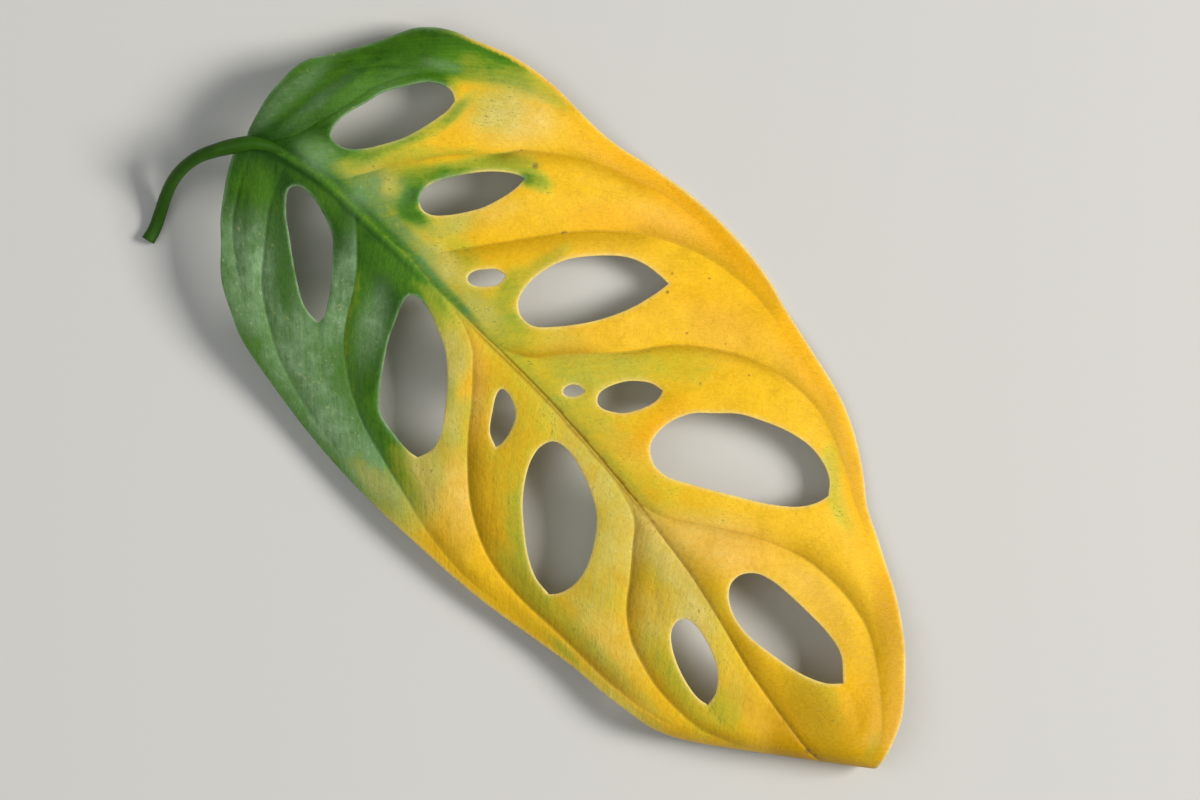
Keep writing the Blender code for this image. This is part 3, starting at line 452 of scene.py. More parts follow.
def in_parts(work, s, t, rows):
    """Runs a piece of work on some points at a time, so that its tables stay small, and joins what it gives."""
    size = max(200, TABLE_SIZE // rows)
    parts = [work(s[i:i + size], t[i:i + size]) for i in range(0, len(s), size)]
    return [np.concatenate(column) for column in zip(*parts)]


def distance_to(path, s, t, reach=FAR):
    """The distance from each point (s, t) to a line of points, how far along it the nearest point is (0 to 1),
    and on which side the point lies (1 on the left of the line, -1 on the right). Points further than reach
    from the line's box are given the distance FAR."""
    start, run = path[:-1], np.diff(path, axis=0)

    def nearest(s, t):
        ds, dt = s[:, None] - start[:, 0], t[:, None] - start[:, 1]
        share = np.clip((ds * run[:, 0] + dt * run[:, 1]) / (run ** 2).sum(axis=1), 0.0, 1.0)
        gap = np.hypot(ds - share * run[:, 0], dt - share * run[:, 1])
        best = gap.argmin(axis=1)
        rows = np.arange(len(s))
        side = np.sign(run[best, 0] * dt[rows, best] - run[best, 1] * ds[rows, best])
        return gap[rows, best], (best + share[rows, best]) / len(run), side

    low, high = path.min(axis=0) - reach, path.max(axis=0) + reach
    close = (s > low[0]) & (s < high[0]) & (t > low[1]) & (t < high[1])
    gap, share, side = np.full_like(s, FAR), np.zeros_like(s), np.ones_like(s)
    if close.any():
        gap[close], share[close], side[close] = in_parts(nearest, s[close], t[close], len(run))
    return gap, share, side


def inside(loops, s, t):
    """Which points lie inside an odd number of closed loops, by counting the crossings beyond each point."""
    found = np.zeros(len(s), dtype=bool)
    for a in loops:
        b = np.roll(a, -1, axis=0)
        rise = np.where(a[:, 1] == b[:, 1], 1.0, b[:, 1] - a[:, 1])

        def count(s, t):
            spans = (a[:, 1] > t[:, None]) != (b[:, 1] > t[:, None])
            crossing = a[:, 0] + (t[:, None] - a[:, 1]) / rise * (b[:, 0] - a[:, 0])
            return ((spans & (s[:, None] < crossing)).sum(axis=1) % 2 == 1,)

        low, high = a.min(axis=0), a.max(axis=0)
        close = (s > low[0]) & (s < high[0]) & (t > low[1]) & (t < high[1])
        if close.any():
            found[close] ^= in_parts(count, s[close], t[close], len(a))[0]
    return found


def closed(loop):
    """A loop of points with its first point again at its end."""
    return np.vstack([loop, loop[:1]])


def smooth(value, low, high):
    """0 below low, 1 above high, and a soft S between."""
    x = np.clip((value - low) / (high - low), 0.0, 1.0)
    return x * x * (3.0 - 2.0 * x)


def fade(value, low, high):
    """1 below low, 0 above high, and a soft S between."""
    return 1.0 - smooth(value, low, high)


def bell(value, width):
    """A bell curve, exp(-(value / width)^2)."""
    return np.exp(-(value / width) ** 2)


def tent(gap, width):
    """1 on a line, falling evenly to 0 at the width."""
    return np.clip(1.0 - gap / width, 0.0, 1.0)


# The lines that distances are measured to, cut into steps of 1 to 1.7 mm
OUTLINE_COARSE = np.vstack([curve_through(UPPER_MARGIN, 1.7)[:-1], curve_through(LOWER_MARGIN, 1.7)[:-1]])
MIDRIB_LINE = curve_through(MIDRIB, 1.0)
VEIN_LINES = [curve_through(points, 1.0) for points in VEINS]
FINE_LINES = [curve_through(points, 1.2) for points in FINE_VEINS]


def shifted(line, amount, loop=False):
    """The line moved by a small amount to the left of its own run. A loop runs on from its end to its start."""
    run = np.roll(line, -1, axis=0) - np.roll(line, 1, axis=0) if loop else np.gradient(line, axis=0)
    left = np.column_stack([-run[:, 1], run[:, 0]]) / np.linalg.norm(run, axis=1)[:, None]
    return line + left * amount


def counterclockwise(points, step):
    """A closed smooth loop through the points, without its first point again, that runs counterclockwise."""
    loop = curve_through(points, step)[:-1]
    after = np.roll(loop, -1, axis=0)
    return loop if np.sum(loop[:, 0] * after[:, 1] - loop[:, 1] * after[:, 0]) > 0.0 else loop[::-1]


def painted(value, patches, f):
    """Soft-edged ovals painted over a value, one after another: each pulls it towards its own number with the
    weight exp(-(u^2 + v^2)^1.5), where u and v are measured in half axes."""
    for s, t, long, wide, turn, target, *beside in patches:
        c, d = math.cos(math.radians(turn)), math.sin(math.radians(turn))
        u = ((f.s - s) * c + (f.t - t) * d) / long
        v = ((f.t - t) * c - (f.s - s) * d) / wide
        weight = np.exp(-(u * u + v * v) ** 1.5)
        if beside:
            gap, _, side = f.veins[beside[0]]
            weight *= smooth(gap * side * beside[1], -0.3, 0.3)
        value = value + (target - value) * weight
    return value


def banded(bands, f):
    """Bands beside the veins, with the weight exp(-(gap / width)^2), which start and end softly. Where bands
    meet, the stronger one counts."""
    lines = f.veins + [(f.rib, f.rib_share, f.rib_side)]
    value = np.zeros_like(f.s)
    for line, side, start, end, width, amount in bands:
        gap, share, sides = lines[line]
        ends = smooth(share, start - 0.05, start + 0.05) * fade(share, end - 0.05, end + 0.05)
        band = amount * ends * bell(gap, width) * smooth(gap * sides * side, -0.2, 0.3)
        value = np.maximum(value, band)
    return value


class BladeFields:
    """Distances over the plan, worked out once for all points of the blade: across the midrib, to the margin,
    to the nearest hole or rim, and to the midrib, the side veins and the fine veins."""

    def __init__(self, s, t, rims):
        self.s, self.t = s, t
        self.across = t - np.interp(s, MIDRIB_LINE[:, 0], MIDRIB_LINE[:, 1])
        self.upper = self.across > 0.0
        self.margin = distance_to(closed(OUTLINE_COARSE), s, t)[0]
        self.hole = np.full_like(s, FAR)
        for loop in rims[1:]:
            self.hole = np.minimum(self.hole, distance_to(closed(loop[::2]), s, t, HOLE_REACH)[0])
        self.edge = np.minimum(self.margin, self.hole)
        outer = self.margin < RIM_REACH
        self.edge[outer] = np.minimum(distance_to(closed(rims[0]), s[outer], t[outer])[0], self.hole[outer])
        self.rib, self.rib_share, self.rib_side = distance_to(MIDRIB_LINE, s, t)
        self.veins = [distance_to(line, s, t, VEIN_REACH) for line in VEIN_LINES]
        gaps = np.array([gap for gap, _, _ in self.veins])
        nearest = gaps.argmin(axis=0)
        rows = np.arange(len(s))
        self.vein = gaps[nearest, rows]
        self.vein_share = np.array([share for _, share, _ in self.veins])[nearest, rows]
        self.fine = np.min([distance_to(line, s, t, FINE_REACH)[0] for line in FINE_LINES], axis=0)

    def by_side(self, pair):
        """A pair's first number on the wider side of the midrib, and its second on the narrower side."""
        return np.where(self.upper, *pair)


def blade_height(f, shape):
    """The height before the bend: the crest of the midrib, less a fall to both sides, less the turned-down
    margin, plus waves along the margin, less V-shaped valleys at the veins, which are summed by their fourth
    powers so that they meet without steps. Small terms add the midrib's ridge at the base, a thin groove at
    each vein, faint grooves at the fine veins, turned edges at the holes and a slight unevenness."""
    s, t, across = f.s, f.t, f.across
    along = s / BLADE_LENGTH
    base, tip = shape.crest_base / MM, shape.crest_tip / MM
    crest = base + (tip - base) * along - CREST_SAG * np.sin(math.pi * np.clip(along, 0.0, 1.0))
    rounded = np.hypot(across, CREST_ROUND) - CREST_ROUND
    fall = f.by_side(SLOPE) * rounded + f.by_side(CURVE) * across ** 2
    turned = f.by_side(MARGIN_TURN) * tent(f.margin, MARGIN_WIDTH) ** 2
    phase = 2.0 * math.pi * (s - f.by_side(WAVE_LOW)) / f.by_side(WAVE_LENGTH)
    grown = np.clip(np.abs(across) / WAVE_FULL_AT, 0.0, WAVE_LIMIT) ** WAVE_GROWTH
    wave = -f.by_side(WAVE_HEIGHT) * np.cos(phase) * grown
    sunk = (MIDRIB_DEPTH * np.exp(-f.rib / MIDRIB_WIDTH)) ** 4
    groove = MIDRIB_GROOVE * tent(f.rib, ROW_GAP) * smooth(s, *MIDRIB_GROOVE_STARTS)
    for gap, share, _ in f.veins:
        part = np.clip(f.by_side(VEIN_START) + VEIN_GROWTH * share, 0.0, 1.0) * (1.0 - VEIN_LOSS * share ** 3)
        sunk += (shape.vein_depth / MM * part * np.exp(-gap / VEIN_WIDTH)) ** 4
        groove = np.maximum(groove, VEIN_GROOVE * (1.0 - LINE_LOSS * share) * tent(gap, ROW_GAP))
    ridge = RIDGE_HEIGHT * bell(f.rib, RIDGE_WIDTH) * fade(s, *RIDGE_ENDS)
    fine = FINE_DEPTH * np.exp(-f.fine / FINE_WIDTH)
    hole_turn = HOLE_TURN * np.exp(-f.hole / HOLE_TURN_WIDTH)
    # Two sine waves of about 20 mm, each shifted by another, so that no row of them shows
    uneven = np.sin(s / 3.1 + 1.7 * np.sin(t / 4.3)) * np.sin(t / 3.7 + 1.3 * np.sin(s / 5.9))
    uneven *= UNEVEN_HEIGHT * (1.0 - np.exp(-f.vein / UNEVEN_FADE))
    return crest - fall - turned + wave - sunk ** 0.25 - groove + ridge - fine - hole_turn + uneven


def bent_surface(f, shape):
    """The middle of the blade's thickness: beyond a slanting line the sheet rolls round a circle and then hangs
    straight, and near the floor its height follows a soft maximum, so that it settles on it."""
    from_line = (f.s - BEND_START[0]) * ACROSS_BEND[0] + (f.t - BEND_START[1]) * ACROSS_BEND[1]
    beyond = np.maximum(from_line, 0.0)
    radius = shape.bend_radius / MM
    angle = np.minimum(beyond / radius, shape.bend_angle)
    straight = beyond - angle * radius
    reach = radius * np.sin(angle) + straight * math.cos(shape.bend_angle)
    drop = radius * (1.0 - np.cos(angle)) + straight * math.sin(shape.bend_angle)
    half = shape.thickness / MM / 2.0
    over = (blade_height(f, shape) - drop - half - LET_DOWN) / SETTLE
    x = f.s + (reach - beyond) * ACROSS_BEND[0]
    y = f.t + (reach - beyond) * ACROSS_BEND[1]
    return np.column_stack([x, y, half + SETTLE * np.logaddexp(0.0, over)])


def point_normals(points, triangles):
    """Each point's normal, as the sum of its triangles' cross products."""
    a, b, c = points[triangles].transpose(1, 0, 2)
    face = np.cross(b - a, c - a)
    total = np.zeros_like(points)
    for k in range(3):
        np.add.at(total, triangles[:, k], face)
    return total / np.linalg.norm(total, axis=1)[:, None]


def clear_of(lines, points, gap):
    """Which points lie further than the gap from all of the lines."""
    s, t = points[:, 0], points[:, 1]
    good = np.ones(len(points), dtype=bool)
    for line in lines:
        good[good] = distance_to(line, s[good], t[good], gap + 0.1)[0] > gap
    return good


def plan_mesh(shape):
    """Points and triangles of the plan: rims with even steps and a row of points beside each, three rows along
    each vein, a grid of even triangles between, and closer points at the dry marks. Returns them with the rims,
    which are the first points."""
    step = shape.step / MM * 1.0
    margin = np.vstack([curve_through(UPPER_MARGIN, step)[:-1], curve_through(LOWER_MARGIN, step)[:-1]])[::-1]
    holes = [counterclockwise(points, step) for points in HOLES]
    rims = [shifted(margin, RIM_ROUND, True)] + [shifted(loop, -RIM_ROUND, True) for loop in holes]
    beside = [shifted(margin, RIM_ROUND + ROW_GAP, True)]
    beside += [shifted(loop, -RIM_ROUND - ROW_GAP, True) for loop in holes]
    edges, first = [], 0
    for loop in rims + beside:
        index = np.arange(len(loop))
        edges += np.column_stack([index + first, np.roll(index, -1) + first]).tolist()
        first += len(loop)

    points = np.vstack(rims + beside)
    closed_rims = [closed(loop) for loop in rims]
    rows = [curve_through(path, step) for path in [MIDRIB] + VEINS]
    for number, row in enumerate(rows):
        for offset in (0.0, ROW_GAP, -ROW_GAP):
            line = shifted(row, offset)
            good = inside(rims, line[:, 0], line[:, 1])
            good &= clear_of(closed_rims + rows[:number], line, ROW_GAP + ROW_CLEAR * step)
            place = len(points) + np.cumsum(good) - 1
            linked = np.flatnonzero(good[:-1] & good[1:])
            edges += np.column_stack([place[linked], place[linked + 1]]).tolist()
            points = np.vstack([points, line[good]])

    # A grid of rows, of which every second one is shifted by half a step
    low, high = margin.min(axis=0), margin.max(axis=0)
    grid_t, grid_s = np.mgrid[low[1]:high[1]:step * math.sqrt(0.75), low[0]:high[0]:step]
    grid_s = grid_s + (np.arange(len(grid_s)) % 2)[:, None] * step / 2.0
    grid = np.column_stack([grid_s.ravel(), grid_t.ravel()])
    places = MARK_STEP * np.arange(-MARK_REACH, MARK_REACH + 1)
    mark = np.array([(i, j) for i in places for j in places])
    grid = np.vstack([grid] + [mark + (x, y) for x, y, _ in SPOTS])
    grid = grid[inside(rims, grid[:, 0], grid[:, 1])]
    grid = grid[clear_of(closed_rims + rows, grid, ROW_GAP + GRID_CLEAR * step)]
    result = delaunay_2d_cdt(np.vstack([points, grid]).tolist(), edges, [], 0, MERGE)
    points = np.array([tuple(v) for v in result[0]])
    triangles = np.array(result[2])
    middle = points[triangles].mean(axis=1)
    return points, triangles[inside(rims, middle[:, 0], middle[:, 1])], rims


def blade_mesh(shape):
    """The blade as a closed skin: an upper and a lower face with the same triangles, joined along each rim by a
    half round profile carried along it. Ribs stand out of the lower face along the veins, as bell curves."""
    plan, triangles, rims = plan_mesh(shape)
    f = BladeFields(plan[:, 0], plan[:, 1], rims)
    middle = bent_surface(f, shape)
    up = point_normals(middle, triangles)
    half = shape.thickness / MM / 2.0
    height, loss, width = MIDRIB_RIB
    ribs = (height - loss * f.rib_share) * bell(f.rib, width)
    for gap, share, _ in f.veins:
        ribs = np.maximum(ribs, VEIN_RIB * (1.0 - LINE_LOSS * share) * bell(gap, VEIN_RIB_WIDTH))
    top = middle + up * half
    bottom = middle - up * (half + ribs)[:, None]
    bottom[:, 2] = np.maximum(bottom[:, 2], 0.0)
    count = len(plan)
    points, faces = [top, bottom], [triangles, triangles[:, ::-1] + count]
    source = [np.arange(count), np.arange(count)]
    first, total = 0, 2 * count
    for number, loop in enumerate(rims):
        index = first + np.arange(len(loop))
        path, normal = middle[index], up[index]
        run = np.roll(path, -1, axis=0) - np.roll(path, 1, axis=0)
        out = np.cross(normal, run / np.linalg.norm(run, axis=1)[:, None])
        facing = 1.0 if number else -1.0
        rings = [index]
        for angle in np.radians(RIM_STEPS):
            ring = path + facing * out * RIM_ROUND * math.cos(angle) + normal * half * math.sin(angle)
            ring[:, 2] = np.maximum(ring[:, 2], 0.0)
            points.append(ring)
            source.append(index)
            rings.append(total + np.arange(len(loop)))
            total += len(loop)
        rings.append(index + count)
        for a, b in zip(rings[:-1], rings[1:]):
            quad = [a, b, np.roll(b, -1), np.roll(a, -1)][::-1 if facing > 0 else 1]
            faces += [np.column_stack(quad[:3]), np.column_stack([quad[0], *quad[2:]])]
        first += len(loop)
    return np.vstack(points), faces, np.concatenate(source), f


def blade_colours(f):
    """How green each point is, and how much of each other colour lies over it. The green ends along a line that
    runs further towards the tip at the margins, and the ovals are painted over that. The material's noise
    shifts the green most where it is half gone, so its mean shift is taken off here."""
    end = np.where(f.upper, np.interp(f.t, *WIDE_END), np.interp(-f.across, *NARROW_END))
    past = (f.s - end) / f.by_side(GREEN_FADE)
    trace = f.by_side(TRACE) * bell(f.across, f.by_side(TRACE_WIDTH)) * fade(f.s, *TRACE_ENDS)
    green = painted(TRACE_LEAST + trace + FULL_GREEN * fade(past, -1.0, 1.0), GREEN_PATCHES, f)

    # A thin gold hem along the margin of the green lobe
    hem = smooth(f.s, 9.0, 26.0) * fade(f.s, 36.0, 44.0) * (f.t > 40.0) * fade(f.margin, 0.2, 1.1)
    green = green + (0.1 - green) * hem
    none = np.zeros_like(f.s)
    wax_sheen = painted(none, WAX_SHEEN_PATCHES, f)
    sage = smooth(green, 0.45, 0.70)
    green = green + (HALF_GREEN - green) * banded(LIME_BANDS, f)

    # The midrib at the base: a paler line with a darker one on each side
    green = green + (0.09 * bell(f.rib - 1.3, 0.5) - 0.11 * bell(f.rib, 0.6)) * fade(f.s, 34.0, 50.0)
    loose = 0.14 + 0.10 * sage + 1.8 * np.clip(green, 0.0, 1.0) * np.clip(1.0 - green, 0.0, 1.0)

    # Dark lines at the bottom of the valleys. Half way along, the midrib's line is two thin ones.
    line = 0.35 * fade(green, 0.28, 0.5) * tent(f.vein, ROW_GAP) * (1.0 - 0.5 * f.vein_share)
    twin = smooth(f.s, 44.0, 60.0) * fade(f.s, 104.0, 116.0)
    rib = tent(f.rib, ROW_GAP) * (1.0 - twin) + twin * bell(f.rib - ROW_GAP, 0.15)
    rib *= 0.7 * smooth(f.s, 50.0, 64.0)
    # A painted highlight along every edge of the blade and its holes
    rim = fade(f.edge, 0.1, 0.55)
    spot = none
    for x, y, radius in SPOTS:
        spot = np.maximum(spot, fade(np.hypot(f.s - x, f.t - y), 0.2 * radius, 1.1 * radius))
    return {
        "green": green - 0.75 * loose,
        "loose": loose,
        "gold": np.maximum(painted(none, GOLD_PATCHES, f), 0.8 * hem),
        # Peach: partly the blade's own paler tone, partly painted light on banks that face the key light
        "peach": 0.75 * painted(none, PEACH_PATCHES, f),
        # Ochre: partly the tissue's own darker tone, partly painted shade on banks and at the tip that face
        # away from the key light
        "ochre": 0.9 * np.maximum(painted(none, OCHRE_PATCHES, f), banded(OCHRE_BANDS, f)),
        # Cream on the yellow part and sage on the green part: the wax's bloom with a painted sheen, and on the
        # green part also the painted highlight along the edges
        "cream": 0.7 * wax_sheen * (1.0 - sage),
        "sage": np.maximum(0.7 * wax_sheen, 0.6 * rim) * sage,
        "fleck": loose * (1.0 - 0.85 * sage),
        "line": np.maximum(line, rib),
        "rim": 0.7 * rim * (1.0 - sage),
        "spot": 0.8 * spot,
    }


def add_object(name, data):
    """An object at the origin that holds the data, linked to the scene."""
    item = bpy.data.objects.new(name, data)
    bpy.context.scene.collection.objects.link(item)
    return item


def add_piece(name, points, faces, material):
    """A mesh piece with smooth shading, moved from the plan to the leaf's own frame. faces is a list of arrays
    of triangles."""
    mesh = bpy.data.meshes.new(name)
    triangles = np.vstack(faces)
    mesh.vertices.add(len(points))
    mesh.vertices.foreach_set("co", ((points - [CENTRE[0], CENTRE[1], 0.0]) * MM).ravel())
    mesh.loops.add(triangles.size)
    mesh.loops.foreach_set("vertex_index", triangles.ravel().astype(np.int32))
    mesh.polygons.add(len(triangles))
    mesh.polygons.foreach_set("loop_start", np.arange(0, triangles.size, 3, dtype=np.int32))
    mesh.polygons.foreach_set("use_smooth", np.ones(len(triangles), dtype=bool))
    mesh.update(calc_edges=True)
    mesh.validate()
    mesh.materials.append(material)
    return add_object(name, mesh)


def set_attribute(piece, name, values):
    """A number for each point, which a material can read."""
    layer = piece.data.attributes.new(name, "FLOAT", "POINT")
    layer.data.foreach_set("value", np.asarray(values, dtype=np.float32))


def add_node(tree, kind, links=None, stops=None, **settings):
    """Adds a node with its settings, and returns its first output in use. links maps an input, by name or
    number, to a socket or a value, and stops are a colour ramp's places and colours."""
    node = tree.nodes.new("ShaderNode" + kind)
    for name, value in settings.items():
        setattr(node, name, value)
    for key, value in (links or {}).items():
        if isinstance(value, bpy.types.NodeSocket):
            tree.links.new(value, node.inputs[key])
        else:
            node.inputs[key].default_value = value
    for number, (place, colour) in enumerate(stops or []):
        elements = node.color_ramp.elements
        element = elements[number] if number < 2 else elements.new(place)
        element.position, element.color = place, colour
    return next(output for output in node.outputs if output.enabled)


def new_material(name, sockets):
    """A new material with some of its shader's sockets set. Returns it with its node tree and its shader."""
    material = bpy.data.materials.new(name)
    material.use_nodes = True
    shader = material.node_tree.nodes["Principled BSDF"]
    for socket, value in sockets.items():
        shader.inputs[socket].default_value = value
    return material, material.node_tree, shader


def blade_material(colours):
    """Living leaf skin with a thin wax: the wax gives the eye a soft broad sheen over a mottled colour, and a
    little light passes through the thin blade."""
    material, tree, shader = new_material("waxy_leaf_skin", {
        "Specular IOR Level": 0.14, "Subsurface Weight": 0.10, "Subsurface Radius": (1.0, 0.6, 0.1),
        "Subsurface Scale": 0.0012})
    where = add_node(tree, "TexCoord").node.outputs["Object"]
    run = add_node(tree, "UVMap", uv_map="along_veins")

    # Clouds of 7 mm with parts down to 0.06 mm, grains of 1 mm, streaks of 1.4 by 6 mm and short scratches of
    # 0.5 by 1 mm along the veins, and a net of small veins with meshes of 2 mm. The scratches and the net are
    # drawn coarser than on the real leaf so that they show.
    clouds = add_node(tree, "TexNoise", {"Vector": where, "Scale": 140.0, "Detail": 7.0, "Roughness": 0.70})
    grains = add_node(tree, "TexNoise", {"Vector": where, "Scale": 1000.0, "Detail": 3.0, "Roughness": 0.6})
    stretched = add_node(tree, "Mapping", {"Vector": run, "Scale": (70.0, 16.0, 1.0)})
    streaks = add_node(tree, "TexNoise", {"Vector": stretched, "Scale": 1.0, "Detail": 6.0, "Roughness": 0.65})
    stretched = add_node(tree, "Mapping", {"Vector": run, "Scale": (210.0, 100.0, 1.0)})
    scratches = add_node(tree, "TexNoise", {"Vector": stretched, "Scale": 1.0, "Detail": 4.0, "Roughness": 0.7})
    bent = add_node(tree, "VectorMath", {0: grains.node.outputs["Color"], 1: where, "Scale": 0.001},
                    operation="SCALE")
    bent = add_node(tree, "VectorMath", {0: bent, 1: where}, operation="ADD")
    cells = add_node(tree, "TexVoronoi", {"Vector": bent, "Scale": 520.0}, feature="DISTANCE_TO_EDGE")
    net = add_node(tree, "MapRange", {"Value": cells, 1: 0.0, 2: 0.12, 3: 0.0, 4: 1.0},
                   interpolation_type="SMOOTHSTEP")

    # The share of green, shifted by the noises, through a ramp from yellow to the deepest green. A new ramp has
    # two stops, at its ends, so those come first.
    mottle = add_node(tree, "Math", {0: streaks, 1: 0.5, 2: clouds}, operation="MULTIPLY_ADD")
    loose = add_node(tree, "Attribute", attribute_name="loose").node.outputs["Fac"]
    green = add_node(tree, "Attribute", attribute_name="green").node.outputs["Fac"]
    green = add_node(tree, "Math", {0: mottle, 1: loose, 2: green}, operation="MULTIPLY_ADD", use_clamp=True)
    colour = add_node(tree, "ValToRGB", {"Fac": green}, stops=[
        (0.0, colours.yellow), (1.0, colours.deep_green), (0.14, colours.yellow), (0.30, colours.lime),
        (0.50, colours.olive), (FULL_GREEN, colours.green)])

    # The other colours lie over it, each with the pattern that breaks it up
    # Beside their own tones, peach paints light and ochre shade; cream and sage paint sheen; the rim colour
    # paints highlights
    even = add_node(tree, "Math", {0: clouds, 1: 1.2, 2: 0.4}, operation="MULTIPLY_ADD")
    speck = add_node(tree, "MapRange", {"Value": scratches, 1: 0.55, 2: 0.63, 3: 0.0, 4: 1.5})
    dusty = add_node(tree, "MapRange", {"Value": clouds, 1: 0.46, 2: 0.62, 3: 0.1, 4: 1.0})
    speck = add_node(tree, "Math", {0: speck, 1: dusty}, operation="MULTIPLY")
    broken = add_node(tree, "MapRange", {"Value": scratches, 1: 0.40, 2: 0.58, 3: 0.25, 4: 1.3})
    # The first of these two patterns breaks up the painted sheen of cream and sage; the second paints small
    # glints on the sage, which are painted highlights
    patchy_sheen = add_node(tree, "Math", {0: mottle, 1: 3.2, 2: -1.4}, operation="MULTIPLY_ADD")
    glints = add_node(tree, "MapRange", {"Value": grains, 1: 0.63, 2: 0.73, 3: 0.0, 4: 0.5})
    layers = [
        ("gold", colours.gold, even), ("peach", colours.peach, even), ("ochre", colours.ochre, even),
        ("cream", colours.cream, patchy_sheen), ("sage", colours.sage, patchy_sheen), ("sage", colours.rim, glints),
        ("fleck", colours.speck, speck), ("line", colours.vein, 1.0), ("rim", colours.rim, 1.0),
        ("spot", colours.spot, broken), ("under", colours.under, 1.0),
    ]
    for name, tint, pattern in layers:
        share = add_node(tree, "Attribute", attribute_name=name).node.outputs["Fac"]
        share = add_node(tree, "Math", {0: share, 1: pattern}, operation="MULTIPLY", use_clamp=True)
        colour = add_node(tree, "Mix", {0: share, 6: colour, 7: tint}, data_type="RGBA")

    # Scratches, clouds, grains and the net lighten and darken the colour a little
    shade = add_node(tree, "Math", {0: scratches, 1: 0.60, 2: 0.23}, operation="MULTIPLY_ADD")
    shade = add_node(tree, "Math", {0: clouds, 1: 0.78, 2: shade}, operation="MULTIPLY_ADD")
    shade = add_node(tree, "Math", {0: grains, 1: 0.14, 2: shade}, operation="MULTIPLY_ADD")
    shade = add_node(tree, "Math", {0: net, 1: 0.04, 2: shade}, operation="MULTIPLY_ADD")
    colour = add_node(tree, "VectorMath", {0: colour, "Scale": shade}, operation="SCALE")
    tree.links.new(colour, shader.inputs["Base Color"])

    # The wax is a little duller on the grains, and the noises raise the skin by about a tenth of a millimetre
    rough = add_node(tree, "Math", {0: grains, 1: 0.2, 2: 0.36}, operation="MULTIPLY_ADD")
    tree.links.new(rough, shader.inputs["Roughness"])
    relief = add_node(tree, "Math", {0: net, 1: 0.14, 2: grains}, operation="MULTIPLY_ADD")
    relief = add_node(tree, "Math", {0: mottle, 1: 3.0, 2: relief}, operation="MULTIPLY_ADD")
    bump = add_node(tree, "Bump", {"Height": relief, "Strength": 0.7, "Distance": 0.00013})
    tree.links.new(bump, shader.inputs["Normal"])
    return material


class LEAF_OT_blade(bpy.types.Operator):
    """Make the leaf's blade with its holes, veins and bent tip"""
    bl_idname = "leaf.blade"
    bl_label = "Blade"

    def execute(self, context):
        shape, colours = context.scene.leaf_shape, context.scene.leaf_colours
        points, faces, source, f = blade_mesh(shape)
        blade = add_piece("leaf_blade", points, faces, blade_material(colours))
        for name, values in blade_colours(f).items():
            set_attribute(blade, name, values[source])
        number, count = np.arange(len(source)), len(f.s)
        set_attribute(blade, "under", UNDER_SHARE * ((number >= count) & (number < 2 * count)))
        run = f.s - VEIN_SLANT * np.abs(f.across) - VEIN_BEND * f.across ** 2
        corners = source[np.vstack(faces).ravel()]
        uv = blade.data.uv_layers.new(name="along_veins")
        uv.data.foreach_set("uv", np.column_stack([run, f.across])[corners].ravel() / UV_UNIT)
        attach(blade, "root")
        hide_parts(CAD_NODE)
        return {"FINISHED"}


def stalk_material(colours):
    """Smooth living stalk skin: satin, in two deep greens that run into each other in clouds of 3 mm."""
    material, tree, shader = new_material("smooth_stalk_skin", {"Roughness": 0.45, "Specular IOR Level": 0.2})
    where = add_node(tree, "TexCoord").node.outputs["Object"]
    noise = add_node(tree, "TexNoise", {"Vector": where, "Scale": 300.0, "Detail": 4.0})
    colour = add_node(tree, "Mix", {0: noise, 6: colours.deep_green, 7: colours.stalk}, data_type="RGBA")
    tree.links.new(colour, shader.inputs["Base Color"])
    return material


def stalk_mesh(shape, sides=32, step=0.4):
    """A round profile carried along the stalk's path, with its own radius at each point, and both ends closed
    by triangles that meet at the path's end."""
    path = curve_through(np.array(STALK) * [1.0, 1.0, 1.0, shape.stalk_radius / MM], step)
    centre, radius = path[:, :3], path[:, 3]
    along = np.gradient(centre, axis=0)
    along /= np.linalg.norm(along, axis=1)[:, None]
    level = np.cross(along, (0.0, 0.0, 1.0))
    level /= np.linalg.norm(level, axis=1)[:, None]
    upward = np.cross(level, along)
    turn = np.arange(sides) * 2.0 * math.pi / sides
    ring = np.cos(turn)[:, None] * level[:, None, :] + np.sin(turn)[:, None] * upward[:, None, :]
    points = (centre[:, None, :] + ring * radius[:, None, None]).reshape(-1, 3)
    points[:, 2] = np.maximum(points[:, 2], 0.0)
    i, k = np.mgrid[0:len(path) - 1, 0:sides]
    a, b = (i * sides + k).ravel(), (i * sides + (k + 1) % sides).ravel()
    faces = [np.column_stack([a, b + sides, b]), np.column_stack([a, a + sides, b + sides])]
    ends = np.vstack([centre[0], centre[-1]])
    n, last = len(points), len(points) - sides
    k = np.arange(sides)
    faces.append(np.column_stack([np.full(sides, n), k, (k + 1) % sides]))
    faces.append(np.column_stack([np.full(sides, n + 1), last + (k + 1) % sides, last + k]))
    return np.vstack([points, ends]), faces


class LEAF_OT_stalk(bpy.types.Operator):
    """Make the leaf's curved stalk"""
    bl_idname = "leaf.stalk"
    bl_label = "Stalk"

    def execute(self, context):
        shape, colours = context.scene.leaf_shape, context.scene.leaf_colours
        points, faces = stalk_mesh(shape)
        stalk = add_piece("leaf_stalk", points, faces, stalk_material(colours))
        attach(stalk, "root")
        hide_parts(CAD_NODE)
        return {"FINISHED"}


def add_light(name, power, size, place, colour):
    """A square soft light that faces the leaf."""
    light = bpy.data.lights.new(name, "AREA")
    light.shape, light.size, light.energy, light.color = "SQUARE", size, power, colour
    lamp = add_object(name, light)
    lamp.location = place
    x, y, z = place
    lamp.rotation_euler = (math.atan2(math.hypot(x, y), z), 0.0, math.atan2(-y, -x) - math.pi / 2.0)


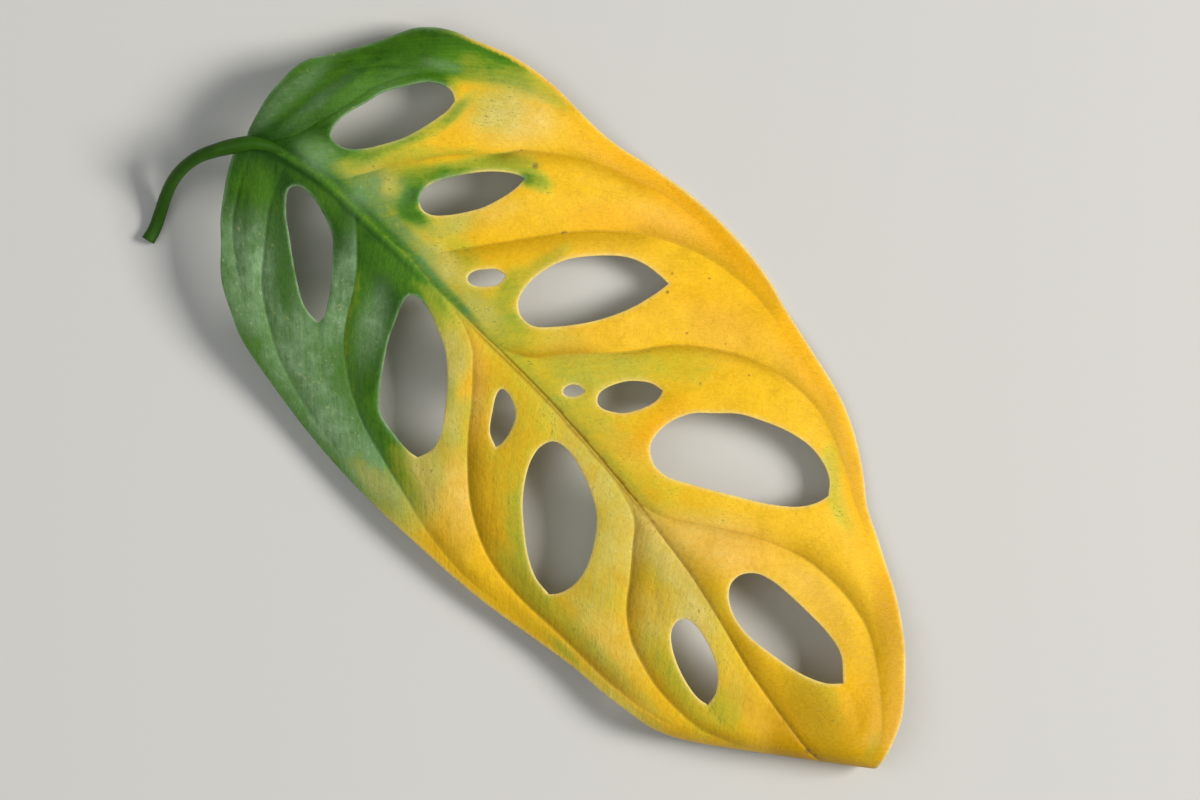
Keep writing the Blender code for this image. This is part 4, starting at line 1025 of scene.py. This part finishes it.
class LEAF_OT_stage(bpy.types.Operator):
    """Make the pale floor, the soft lights and the camera over the leaf"""
    bl_idname = "leaf.stage"
    bl_label = "Stage"

    def execute(self, context):
        scene, stage = context.scene, context.scene.leaf_stage
        corners = np.array([(-1, -1, 0), (1, -1, 0), (1, 1, 0), (-1, 1, 0)]) * FLOOR_HALF
        mesh = bpy.data.meshes.new("floor")
        mesh.from_pydata(corners.tolist(), [], [(0, 1, 2, 3)])
        floor = add_object("floor", mesh)
        # Matt paint, which shows the eye soft shadows and no sheen
        paint, _, _ = new_material("matte_painted_floor", {"Base Color": stage.floor, "Roughness": 0.9})
        mesh.materials.append(paint)

        for name, power, size, place, colour in LIGHTS:
            add_light(name, getattr(stage, power), size, place, colour)
        world = bpy.data.worlds.new("soft_sky")
        world.use_nodes = True
        background = world.node_tree.nodes["Background"]
        background.inputs["Color"].default_value = SKY_COLOUR
        background.inputs["Strength"].default_value = stage.sky
        scene.world = world

        lens = bpy.data.cameras.new("camera")
        lens.sensor_width = 36.0
        lens.lens = lens.sensor_width * stage.distance / stage.view_width
        lens.clip_start, lens.clip_end = 0.05, 20.0
        camera = add_object("camera", lens)
        x, y, focus = CAMERA_PLACE
        camera.location = (x, y, focus + stage.distance)
        camera.rotation_euler = (0.0, 0.0, math.radians(CAMERA_TURN))
        scene.camera = camera
        scene.view_settings.view_transform = "Standard"
        return {"FINISHED"}


class LEAF_PT_panel(bpy.types.Panel):
    """Lists the leaf's pieces, sizes and colours"""
    bl_label = "Monstera Leaf"
    bl_idname = "LEAF_PT_panel"
    bl_space_type = "VIEW_3D"
    bl_region_type = "UI"
    bl_category = "Leaf"

    def draw(self, context):
        for operator in OPERATORS:
            self.layout.operator(operator.bl_idname)
        for group in (context.scene.leaf_shape, context.scene.leaf_colours, context.scene.leaf_stage):
            box = self.layout.box()
            for name in type(group).__annotations__:
                box.prop(group, name)


OPERATORS = (LEAF_OT_stage, LEAF_OT_blade, LEAF_OT_stalk)
CLASSES = (LeafShape, LeafColours, StageSettings) + OPERATORS + (LEAF_PT_panel,)


def register():
    for cls in CLASSES:
        bpy.utils.register_class(cls)
    bpy.types.Scene.leaf_shape = PointerProperty(type=LeafShape)
    bpy.types.Scene.leaf_colours = PointerProperty(type=LeafColours)
    bpy.types.Scene.leaf_stage = PointerProperty(type=StageSettings)


def unregister():
    del bpy.types.Scene.leaf_stage
    del bpy.types.Scene.leaf_colours
    del bpy.types.Scene.leaf_shape
    for cls in reversed(CLASSES):
        bpy.utils.unregister_class(cls)


def main():
    """Registers the classes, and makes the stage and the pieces."""
    register()
    bpy.ops.leaf.stage()
    bpy.ops.leaf.blade()
    bpy.ops.leaf.stalk()


if __name__ == "__main__":
    main()
